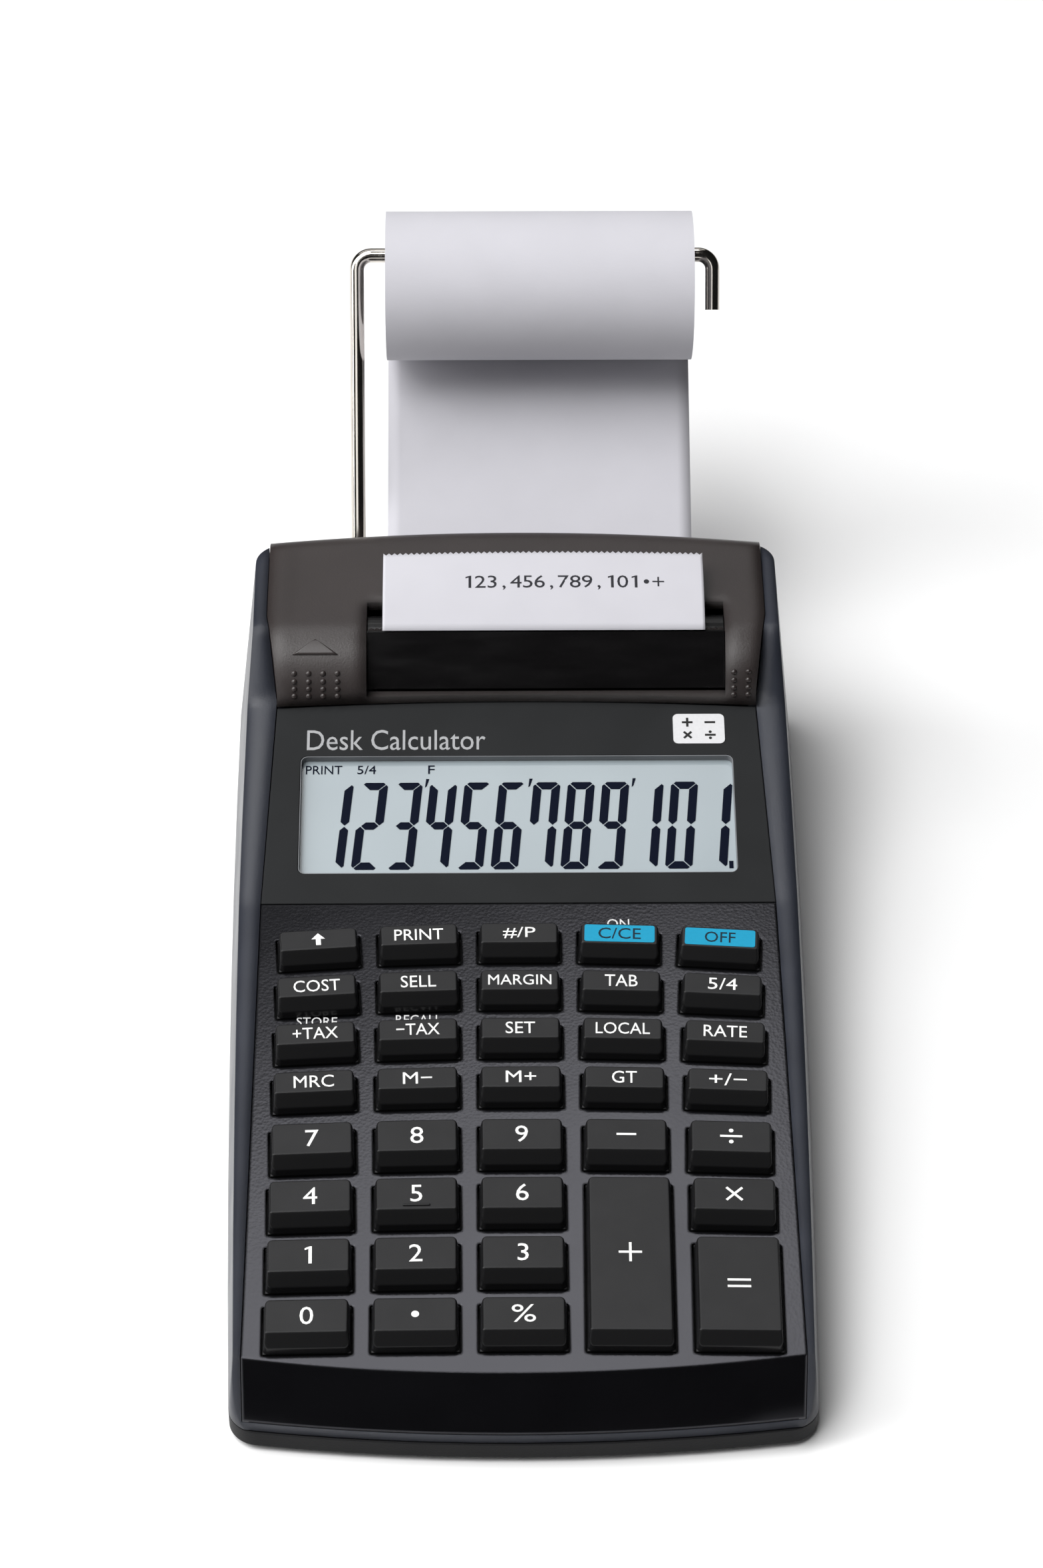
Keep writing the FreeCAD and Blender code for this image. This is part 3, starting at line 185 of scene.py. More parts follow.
def ramp(tree, factor, low, high, start=0.3, end=0.7):
    """A colour between two, by a factor."""
    node = add(tree, "ShaderNodeValToRGB", {"Fac": factor})
    node.color_ramp.elements[0].position = start
    node.color_ramp.elements[0].color = rgba(low)
    node.color_ramp.elements[1].position = end
    node.color_ramp.elements[1].color = rgba(high)
    return node.outputs["Color"]


def between(tree, factor, low, high, start=0.3, end=0.7):
    """A number between two, by a factor."""
    return add(tree, "ShaderNodeMapRange", {"Value": factor, "From Min": start, "From Max": end,
                                            "To Min": low, "To Max": high}).outputs["Result"]


def facing(tree, direction):
    """How squarely a surface faces a direction: 1 straight at it, 0 across it."""
    normal = add(tree, "ShaderNodeNewGeometry").outputs["Normal"]
    dot = add(tree, "ShaderNodeVectorMath", {0: normal, 1: direction}, operation="DOT_PRODUCT")
    return dot.outputs["Value"]


def relief(tree, shader, height, depth, strength, edge=0.0):
    """Fine relief, its depth in millimetres, on corners that are softened by an edge radius."""
    inputs = {"Height": height, "Distance": depth * MM, "Strength": strength}
    if edge:
        inputs["Normal"] = add(tree, "ShaderNodeBevel", {"Radius": edge * MM}, samples=6).outputs["Normal"]
    tree.links.new(add(tree, "ShaderNodeBump", inputs).outputs["Normal"], shader.inputs["Normal"])


def moulded(name, base, roughness, grain, depth, edge=0.3, gloss=0.35):
    """Injection-moulded plastic: spark-eroded grain, corners softened by the mould, faint cloudiness."""
    material, tree, shader, place = blank(name, Specular_IOR_Level=gloss, IOR=1.5)
    cloud = spots(tree, place, 14.0).outputs["Fac"]
    pits = spots(tree, place, grain, 3.0).outputs["Fac"]
    tree.links.new(ramp(tree, cloud, shade(base, 0.9), shade(base, 1.1)), shader.inputs["Base Color"])
    tree.links.new(between(tree, cloud, roughness - 0.04, roughness + 0.05), shader.inputs["Roughness"])
    relief(tree, shader, pits, depth, 0.9, edge)
    return material


def leather_grained(name, base, grain):
    """Polystyrene with an etched leather grain, soft cells with valleys between, but a polished front."""
    material, tree, shader, place = blank(name, Specular_IOR_Level=0.5, IOR=1.5,
                                          Specular_Tint=(0.9, 0.9, 1.0, 1.0))
    etched = between(tree, facing(tree, (0.0, -1.0, 0.0)), 1.0, 0.0, 0.2, 0.5)
    cells = add(tree, "ShaderNodeTexVoronoi", {"Vector": place, "Scale": 1.0 / grain, "Randomness": 1.0})
    cloud = spots(tree, place, 16.0).outputs["Fac"]
    tree.links.new(ramp(tree, cloud, shade(base, 0.88), shade(base, 1.12)), shader.inputs["Base Color"])
    satin = between(tree, cloud, 0.15, 0.18)
    polish = between(tree, etched, 0.15, 1.0, 0.0, 1.0)
    tree.links.new(compute(tree, "MULTIPLY", satin, polish), shader.inputs["Roughness"])
    relief(tree, shader, compute(tree, "MULTIPLY", cells.outputs["Distance"], etched), 0.008, 0.8, 0.5)
    return material


def key_plastic(name, base):
    """ABS keycap: fine matt texture on top; polished sides and front facet in painted shade; the top varies a
    little in patches.
    """
    material, tree, shader, place = blank(name, Specular_IOR_Level=0.22, IOR=1.53)
    cloud = spots(tree, place, 6.0).outputs["Fac"]
    top = between(tree, facing(tree, DECK_UP), 0.0, 1.0, 0.9, 0.97)
    worn = ramp(tree, cloud, shade(base, 0.93), shade(base, 1.07))
    # Painted shade: faces that do not face up, the sides and front facet, get the key colour darkened to 0.45.
    colour_with_painted_shade = add(tree, "ShaderNodeMix", {0: top, 6: rgba(shade(base, 0.45)), 7: worn}, data_type="RGBA")
    tree.links.new(colour_with_painted_shade.outputs[2], shader.inputs["Base Color"])
    tree.links.new(between(tree, top, 0.26, 0.5, 0.0, 1.0), shader.inputs["Roughness"])
    grit = spots(tree, place, 0.3, 3.0).outputs["Fac"]
    relief(tree, shader, compute(tree, "MULTIPLY", grit, top), 0.012, 0.8, 0.3)
    return material


def printed(name, base, roughness=0.5, gloss=0.3):
    """Pad-printed ink or a printed film: even colour with a fine mottle from the pad."""
    material, tree, shader, place = blank(name, Specular_IOR_Level=gloss)
    mottle = spots(tree, place, 0.5).outputs["Fac"]
    tree.links.new(ramp(tree, mottle, shade(base, 0.94), base), shader.inputs["Base Color"])
    tree.links.new(between(tree, mottle, roughness - 0.05, roughness + 0.05), shader.inputs["Roughness"])
    return material


def paper(name, base, width):
    """Uncoated tape paper: short fibres, a faint mottle and a soft surface with a little sheen."""
    material, tree, shader, place = blank(name, Specular_IOR_Level=0.2, Sheen_Weight=0.1)
    fibres = add(tree, "ShaderNodeMapping", {"Vector": place, "Scale": (0.35, 1.0, 1.0)}).outputs["Vector"]
    felt = spots(tree, fibres, width, 4.0).outputs["Fac"]
    cloud = spots(tree, place, 9.0).outputs["Fac"]
    tree.links.new(ramp(tree, cloud, shade(base, 0.97), base), shader.inputs["Base Color"])
    tree.links.new(between(tree, felt, 0.72, 0.86), shader.inputs["Roughness"])
    relief(tree, shader, felt, 0.02, 0.5)
    return material


def metal(name, base, roughness, scratch):
    """Plated or drawn metal: bright, with fine lengthwise marks from drawing."""
    material, tree, shader, place = blank(name, Metallic=1.0)
    marks = add(tree, "ShaderNodeMapping", {"Vector": place, "Scale": (1.0, 0.08, 0.08)}).outputs["Vector"]
    lines = spots(tree, marks, scratch, 2.0).outputs["Fac"]
    tree.links.new(ramp(tree, lines, shade(base, 0.86), base), shader.inputs["Base Color"])
    tree.links.new(between(tree, lines, roughness * 0.8, roughness * 1.3), shader.inputs["Roughness"])
    relief(tree, shader, lines, 0.004, 0.4)
    return material


def smoked(name, base):
    """Smoked polycarbonate: polished and see-through, with light streaks from the mould's flow."""
    material, tree, shader, place = blank(name, Transmission_Weight=0.55, IOR=1.58, Coat_Weight=0.3)
    flow = add(tree, "ShaderNodeMapping", {"Vector": place, "Scale": (0.4, 1.0, 2.0)}).outputs["Vector"]
    streaks = spots(tree, flow, 4.0).outputs["Fac"]
    tree.links.new(ramp(tree, streaks, shade(base, 0.8), shade(base, 1.2)), shader.inputs["Base Color"])
    tree.links.new(between(tree, streaks, 0.06, 0.14), shader.inputs["Roughness"])
    return material


def coat(node, material):
    """Gives a carried-over solid its material."""
    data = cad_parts[node].data
    data.materials.clear()
    data.materials.append(material)


# ------------------------------------------------------------ shapes

def surface_at(tilt, start, along, across=0.0, lift=0.0):
    """A frame on a slope: x to the right, y up the slope, z out of it. All in millimetres."""
    rise = (math.sin(tilt), math.cos(tilt))
    place = Vector((across, start[0] + FRONT + along * rise[1] - lift * rise[0],
                    start[1] + along * rise[0] + lift * rise[1])) * MM
    return Matrix.Translation(place) @ Matrix.Rotation(tilt, 4, "X")


def on_deck(across, along, lift=0.0):
    return surface_at(DECK_TILT, DECK_CREASE, along, across, lift)


def on_panel(across, along, lift=0.0):
    fold = (DECK_CREASE[0] + DECK_LENGTH * math.cos(DECK_TILT),
            DECK_CREASE[1] + DECK_LENGTH * math.sin(DECK_TILT))
    return surface_at(PANEL_TILT, fold, along, across, lift)


def put(name, data):
    """A new object in the scene."""
    result = bpy.data.objects.new(name, data)
    bpy.context.scene.collection.objects.link(result)
    return result


def piece(name, mesh, material, body, replaces=()):
    """Puts a finished mesh in the scene as a piece that moves with a body."""
    mesh.materials.clear()
    mesh.materials.append(material)
    mesh.name = name
    result = put(name, mesh)
    if body:
        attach(result, body)
    if replaces:
        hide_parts(*replaces)
    return result


def evaluated(holder):
    """The plain mesh of what an object shows. The object and its modifiers are removed."""
    graph = bpy.context.evaluated_depsgraph_get()
    mesh = bpy.data.meshes.new_from_object(holder.evaluated_get(graph))
    holder.modifiers.clear()
    bpy.data.objects.remove(holder)
    return mesh


def finished(build, outward=False, smooth=False):
    """Ends the building of a mesh."""
    if outward:
        bmesh.ops.recalc_face_normals(build, faces=build.faces)
    mesh = bpy.data.meshes.new("shape")
    build.to_mesh(mesh)
    build.free()
    if smooth:
        for face in mesh.polygons:
            face.use_smooth = True
    return mesh


def wall(build, loop, after):
    """A ring of faces between two loops with as many corners."""
    for i, _ in enumerate(loop):
        j = (i + 1) % len(loop)
        build.faces.new((loop[i], loop[j], after[j], after[i]))


def plates(outlines, depth):
    """Thin plates, one for each outline, from z 0 up to depth. Outlines are in metres."""
    build = bmesh.new()
    for outline in outlines:
        low = [build.verts.new((x, y, 0.0)) for x, y in outline]
        high = [build.verts.new((x, y, depth)) for x, y in outline]
        build.faces.new(high)
        build.faces.new(reversed(low))
        wall(build, low, high)
    return finished(build, outward=True)


def disc(x, y, radius, sides=20):
    turns = [math.tau * i / sides for i in range(sides)]
    return [(x + radius * math.cos(t), y + radius * math.sin(t)) for t in turns]


def bar(x, y, width, height):
    return [(x - width / 2, y - height / 2), (x + width / 2, y - height / 2),
            (x + width / 2, y + height / 2), (x - width / 2, y + height / 2)]


def rounded(x, y, width, height, radius, steps=5):
    """A box with round corners."""
    outline = []
    for quarter, (side, end) in enumerate([(1, 1), (-1, 1), (-1, -1), (1, -1)]):
        for step in range(steps + 1):
            turn = math.pi / 2 * (quarter + step / steps)
            outline.append((x + side * (width / 2 - radius) + radius * math.cos(turn),
                            y + end * (height / 2 - radius) + radius * math.sin(turn)))
    return outline


def cross(size, width, turn=0.0):
    """The outline of a plus sign, turned by an angle."""
    a, b = size / 2, width / 2
    corners = [(a, b), (b, b), (b, a), (-b, a), (-b, b), (-a, b),
               (-a, -b), (-b, -b), (-b, -a), (b, -a), (b, -b), (a, -b)]
    c, s = math.cos(turn), math.sin(turn)
    return [(x * c - y * s, x * s + y * c) for x, y in corners]


def glyphs(text):
    """Raised letters at the font's own size, with their baseline at y 0. A one gets a flag."""
    if text == "1":
        right, stem, top = 0.3, 0.11, 0.69
        flag = [(0.24, top), (0.07, 0.62), (0.07, 0.54), (right - stem, 0.59)]
        return plates([[(right, 0.0), (right, top)] + flag + [(right - stem, 0.0)]], 0.1)
    curve = bpy.data.curves.new("lettering", "FONT")
    curve.body = text
    curve.resolution_u = 3
    curve.extrude = 0.05
    mesh = evaluated(put("lettering", curve))
    bpy.data.curves.remove(curve)
    return mesh


def span(mesh, axis):
    places = [vertex.co[axis] for vertex in mesh.vertices]
    return min(places), max(places)


def lettering(text, width, height, depth):
    """Raised letters fitted to a height, and to a width unless it is 0, centred on the origin."""
    mesh = glyphs(text)
    (left, right), (low, high), (back, face) = (span(mesh, axis) for axis in range(3))
    scale_y = height / (high - low)
    scale_x = width / (right - left) if width else scale_y
    mesh.transform(Matrix.Diagonal((scale_x, scale_y, depth / (face - back), 1.0))
                   @ Matrix.Translation((-(left + right) / 2, -(low + high) / 2, -back)))
    return mesh


def joined(meshes):
    """One mesh out of several."""
    build = bmesh.new()
    for mesh in meshes:
        build.from_mesh(mesh)
        bpy.data.meshes.remove(mesh)
    return finished(build)


def placed(mesh, matrix):
    mesh.transform(matrix)
    return mesh


def sheet_mesh(columns, rows, point, thickness):
    """A closed sheet whose face goes through point(u, v), with u and v from 0 to 1."""
    build = bmesh.new()
    grid = [[build.verts.new(point(i / columns, j / rows)) for i in range(columns + 1)]
            for j in range(rows + 1)]
    for j in range(rows):
        for i in range(columns):
            build.faces.new((grid[j][i], grid[j][i + 1], grid[j + 1][i + 1], grid[j + 1][i]))
    build.normal_update()
    holder = put("sheet", finished(build, smooth=True))
    solid = holder.modifiers.new("thickness", "SOLIDIFY")
    solid.thickness = thickness
    solid.offset = -1.0
    return evaluated(holder)


def lathe(profile, sides, centre):
    """A closed shape turned about an axis along X. The profile is a closed loop of (x, radius)."""
    build = bmesh.new()
    rings = [[build.verts.new((x, centre[1] + r * math.cos(math.tau * i / sides),
                               centre[2] + r * math.sin(math.tau * i / sides))) for i in range(sides)]
             for x, r in profile]
    for ring, after in zip(rings, rings[1:] + rings[:1]):
        wall(build, ring, after)
    return finished(build, outward=True, smooth=True)


# ------------------------------------------------------------ geometry nodes

def begun(name, **inputs):
    """A new tree with named inputs and the sockets that they arrive on."""
    tree = bpy.data.node_groups.new(name, "GeometryNodeTree")
    tree.interface.new_socket("Geometry", in_out="OUTPUT", socket_type="NodeSocketGeometry")
    for socket, kind in inputs.items():
        tree.interface.new_socket(socket.replace("_", " "), in_out="INPUT", socket_type="NodeSocket" + kind)
    return tree, add(tree, "NodeGroupInput").outputs


def ended(tree, instances, material):
    """Ends a tree: its instances are made real and get their material."""
    real = add(tree, "GeometryNodeRealizeInstances", {"Geometry": instances})
    dyed = add(tree, "GeometryNodeSetMaterial", {"Geometry": real.outputs["Geometry"], "Material": material})
    add(tree, "NodeGroupOutput", {"Geometry": dyed.outputs["Geometry"]})
    return tree


def studs_tree():
    """Rows and columns of small domes, thrown backwards onto another object's surface."""
    tree, given = begun("studs on a surface", Surface="Object", Columns="Int", Rows="Int", Column_Pitch="Float",
                        Row_Pitch="Float", Centre="Vector", Radius="Float", Flatness="Float",
                        Material="Material")
    width, depth = (compute(tree, "MULTIPLY", compute(tree, "SUBTRACT", given[count], 1.0), given[pitch])
                    for count, pitch in (("Columns", "Column Pitch"), ("Rows", "Row Pitch")))
    grid = add(tree, "GeometryNodeMeshGrid", {"Size X": width, "Size Y": depth, "Vertices X": given["Columns"],
                                              "Vertices Y": given["Rows"]}).outputs["Mesh"]
    stood = add(tree, "GeometryNodeTransform", {"Geometry": grid, "Rotation": (math.pi / 2, 0.0, 0.0),
                                                "Translation": given["Centre"]}).outputs["Geometry"]
    target = add(tree, "GeometryNodeObjectInfo", {"Object": given["Surface"]}).outputs["Geometry"]
    hit = add(tree, "GeometryNodeRaycast", {"Target Geometry": target, "Ray Direction": (0.0, 1.0, 0.0),
                                            "Ray Length": 1.0}).outputs
    thrown = add(tree, "GeometryNodeSetPosition", {"Geometry": stood, "Position": hit["Hit Position"]})
    ball = add(tree, "GeometryNodeMeshUVSphere", {"Segments": 12, "Rings": 8, "Radius": given["Radius"]})
    dome = add(tree, "GeometryNodeSetShadeSmooth", {"Geometry": ball.outputs["Mesh"]}).outputs["Geometry"]
    squat = add(tree, "ShaderNodeCombineXYZ", {"X": 1.0, "Y": 1.0, "Z": given["Flatness"]}).outputs["Vector"]
    turn = add(tree, "FunctionNodeAlignRotationToVector", {"Vector": hit["Hit Normal"]}, axis="Z")
    studs = add(tree, "GeometryNodeInstanceOnPoints", {"Points": thrown.outputs["Geometry"],
                                                       "Instance": dome, "Scale": squat,
                                                       "Rotation": turn.outputs["Rotation"]})
    return ended(tree, studs.outputs["Instances"], given["Material"])


def teeth_tree():
    """A straight row of pointed teeth, each a small pyramid."""
    tree, given = begun("row of teeth", Count="Int", Pitch="Float", Height="Float", Thickness="Float",
                        Material="Material")
    step = add(tree, "ShaderNodeCombineXYZ", {"X": given["Pitch"]}).outputs["Vector"]
    line = add(tree, "GeometryNodeMeshLine", {"Count": given["Count"], "Offset": step}, mode="OFFSET")
    reach = compute(tree, "MULTIPLY", given["Pitch"], math.sqrt(0.5))
    tooth = add(tree, "GeometryNodeMeshCone", {"Vertices": 4, "Radius Bottom": reach,
                                               "Depth": given["Height"]})
    square = add(tree, "GeometryNodeTransform", {"Geometry": tooth.outputs["Mesh"],
                                                 "Rotation": (0.0, 0.0, math.pi / 4)}).outputs["Geometry"]
    thin = compute(tree, "DIVIDE", given["Thickness"], given["Pitch"])
    slim = add(tree, "ShaderNodeCombineXYZ", {"X": 1.0, "Y": thin, "Z": 1.0}).outputs["Vector"]
    row = add(tree, "GeometryNodeInstanceOnPoints", {"Points": line.outputs["Mesh"], "Instance": square,
                                                     "Scale": slim})
    return ended(tree, row.outputs["Instances"], given["Material"])


def grown(tree, **values):
    """Runs a node tree with the given inputs and returns what it makes as a plain mesh."""
    holder = put("growing", bpy.data.meshes.new("growing"))
    modifier = holder.modifiers.new("tree", "NODES")
    modifier.node_group = tree
    for item in tree.interface.items_tree:
        key = item.name.replace(" ", "_")
        if item.in_out == "INPUT" and key in values:
            modifier[item.identifier] = values[key]
    return evaluated(holder)


# ------------------------------------------------------------ the pieces

class CALCULATOR_OT_case(bpy.types.Operator):
    """Finish the housings, the key deck and the display panel"""
    bl_idname = "calculator.case"
    bl_label = "Case"

    def execute(self, context):
        look = context.scene.calculator_case
        coat("upper_housing", moulded("satin ABS, blue-grey", look.shell_colour, 0.34, look.grain / MM, 0.02,
                                      edge=3.5, gloss=0.5))
        coat("lower_housing", moulded("grained ABS, black", look.tray_colour, 0.45, look.grain / MM, 0.03,
                                      gloss=0.15))
        coat("battery_door", moulded("grained ABS door, black", look.tray_colour, 0.42, look.grain / MM,
                                     0.03))
        coat("key_deck", leather_grained("leather-grained polystyrene", look.deck_colour, look.leather))
        coat("display_panel", moulded("matt ABS panel", look.panel_colour, 0.55, 0.25, 0.01, gloss=0.08))
        prints = printed("white pad print", linear("#d9d9d9"))
        words = (("ON", 3.8, 2.1, 17.0, 91.0), ("STORE", 6.8, 1.9, -34.0, 69.9),
                 ("RECALL", 7.6, 1.9, -17.0, 70.3))
        letters = [placed(lettering(word, width * MM, height * MM, PRINT_DEPTH), on_deck(across, along))
                   for word, width, height, across, along in words]
        piece("deck_lettering", joined(letters), prints, "case")
        grey = printed("grey pad print", linear("#a2a3a5"))
        title = lettering("Desk Calculator", 31.5 * MM, 4.3 * MM, PRINT_DEPTH)
        piece("panel_lettering", placed(title, on_panel(-21.3, 34.0)), grey, "case")
        self.badge()
        return {"FINISHED"}

    def badge(self):
        """A small plate with the four signs of arithmetic."""
        silver = printed("silver lacquered plate", linear("#d2d2d4"), 0.35, gloss=0.5)
        middle, along, thickness = 32.2, 36.1, 0.15
        ground = plates([rounded(0.0, 0.0, 9.1 * MM, 6.3 * MM, 0.9 * MM)], thickness * MM)
        piece("badge_plate", placed(ground, on_panel(middle, along)), silver, "case")
        a, b = 2.0 * MM, 1.35 * MM
        size, width, dot, dot_rise = 1.9 * MM, 0.42 * MM, 0.28 * MM, 0.65 * MM
        signs = [[(x - a, y + b) for x, y in cross(size, width)],
                 bar(a, b, size, width),
                 [(x - a, y - b) for x, y in cross(size, width, math.pi / 4)],
                 bar(a, -b, size, width), disc(a, -b + dot_rise, dot), disc(a, -b - dot_rise, dot)]
        black = printed("black screen print", linear("#141414"))
        signs = placed(plates(signs, PRINT_DEPTH), on_panel(middle, along, thickness))
        piece("badge_signs", signs, black, "case")


LEGENDS = {
    "key_feed": ("arrow", 2.3, 2.7), "key_print": ("PRINT", 8.3, 2.5), "key_date_print": ("#/P", 5.5, 2.6),
    "key_clear": ("C/CE", 7.2, 2.5), "key_power_off": ("OFF", 5.2, 2.4),
    "key_cost": ("COST", 7.8, 2.6), "key_sell": ("SELL", 5.9, 2.65), "key_margin": ("MARGIN", 10.6, 2.3),
    "key_tab": ("TAB", 5.5, 2.6), "key_rounding": ("5/4", 4.9, 2.6),
    "key_tax_plus": ("+TAX", 7.5, 2.5), "key_tax_minus": ("−TAX", 7.2, 2.5), "key_set": ("SET", 4.9, 2.6),
    "key_local": ("LOCAL", 9.0, 2.5), "key_rate": ("RATE", 7.2, 2.5),
    "key_memory_recall": ("MRC", 6.6, 2.6), "key_memory_minus": ("M−", 4.8, 2.5),
    "key_memory_plus": ("M+", 5.0, 2.5), "key_grand_total": ("GT", 4.1, 2.6), "key_sign": ("+/−", 6.2, 2.6),
    "key_percent": ("%", 3.8, 3.4), "key_point": ("point", 0.0, 0.0), "key_minus": ("minus", 3.2, 0.0),
    "key_divide": ("divide", 3.6, 0.0), "key_multiply": ("multiply", 3.6, 0.0),
    "key_plus": ("plus", 3.7, 0.0), "key_equals": ("equals", 3.7, 0.0),
}
DIGITS = ("zero", "one", "two", "three", "four", "five", "six", "seven", "eight", "nine")


class CALCULATOR_OT_keys(bpy.types.Operator):
    """Finish the keys and print their legends"""
    bl_idname = "calculator.keys"
    bl_label = "Keys"

    def execute(self, context):
        look = context.scene.calculator_keys
        plastic = key_plastic("ABS keycap", look.key_colour)
        white = printed("white key legend", look.legend_colour)
        dark = printed("dark label legend", linear("#06222e"))
        film = printed("cyan label film", look.label_colour, 0.4)
        legends = dict(LEGENDS)
        for value, word in enumerate(DIGITS):
            legends["key_" + word] = (str(value), 0.0, look.digit_height / MM)
        for node, (text, width, height) in legends.items():
            coat(node, plastic)
            seat, size = self.top_of(node)
            lift, ink = 0.0, white
            if node in ("key_clear", "key_power_off"):
                lift, ink = 0.08 * MM, dark
                label = plates([rounded(0.0, 0.0, 11.9 * MM, size[1] - 0.35 * MM, 0.4 * MM)], lift)
                piece(node + "_label", placed(label, seat), film, node)
            mesh = self.legend(text, width * MM, height * MM, look.ink_depth)
            raised = seat @ Matrix.Translation((0.0, 0.0, lift))
            piece(node + "_legend", placed(mesh, raised), ink, node)
            if text == "5":
                ridge = plates([rounded(0.0, -2.4 * MM, 4.4 * MM, 0.36 * MM, 0.17 * MM)], 0.25 * MM)
                piece("home_ridge", placed(ridge, seat), plastic, node)
        return {"FINISHED"}

    def top_of(self, node):
        """Where a key's flat top is, as a frame, and how large it is."""
        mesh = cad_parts[node].data
        up = Vector(DECK_UP)
        ahead, normal, centre, area = Vector(), Vector(), Vector(), 0.0
        flat = []
        crest = max(vertex.co.dot(up) for vertex in mesh.vertices) - 0.7 * MM
        for face in mesh.polygons:
            if face.normal.dot(up) > 0.985 and face.center.dot(up) > crest:
                flat.append(face)
                normal += face.normal * face.area
                centre += face.center * face.area
                area += face.area
            elif face.normal.y < -0.4 and face.normal.dot(up) > -0.2:
                ahead += face.normal * face.area
        normal.normalize()
        centre /= area
        right = up.cross(ahead).normalized()
        back = normal.cross(right).normalized()
        corners = [mesh.vertices[i].co - centre for face in flat for i in face.vertices]
        size = [max(c.dot(axis) for c in corners) - min(c.dot(axis) for c in corners)
                for axis in (right, back)]
        seat = Matrix((right, back, normal)).transposed().to_4x4()
        seat.translation = centre
        return seat, size

    def legend(self, text, width, height, depth):
        """A key's legend: letters, or a sign drawn with bars and dots."""
        stroke, dot, dot_rise, shoulder = 0.42 * MM, 0.38 * MM, 1.15 * MM, height * 0.02
        signs = {
            "point": [disc(0.0, 0.0, 0.62 * MM)],
            "minus": [bar(0.0, 0.0, width, stroke)],
            "plus": [cross(width, stroke)],
            "multiply": [cross(width, stroke, math.pi / 4)],
            "equals": [bar(0.0, 0.62 * MM, width, stroke), bar(0.0, -0.62 * MM, width, stroke)],
            "divide": [bar(0.0, 0.0, width, stroke), disc(0.0, dot_rise, dot), disc(0.0, -dot_rise, dot)],
            "arrow": [[(0.0, height / 2), (-width / 2, shoulder), (-stroke, shoulder), (-stroke, -height / 2),
                       (stroke, -height / 2), (stroke, shoulder), (width / 2, shoulder)]],
        }
        if text in signs:
            return plates(signs[text], depth)
        return lettering(text, width, height, depth)


# Which of a digit's bars are lit: top, upper left, upper right, middle, lower left, lower right, bottom.
SEGMENTS = {"0": "1110111", "1": "0010010", "2": "1011101", "3": "1011011", "4": "0111010",
            "5": "1101011", "6": "1101111", "7": "1110010", "8": "1111111", "9": "1111011"}


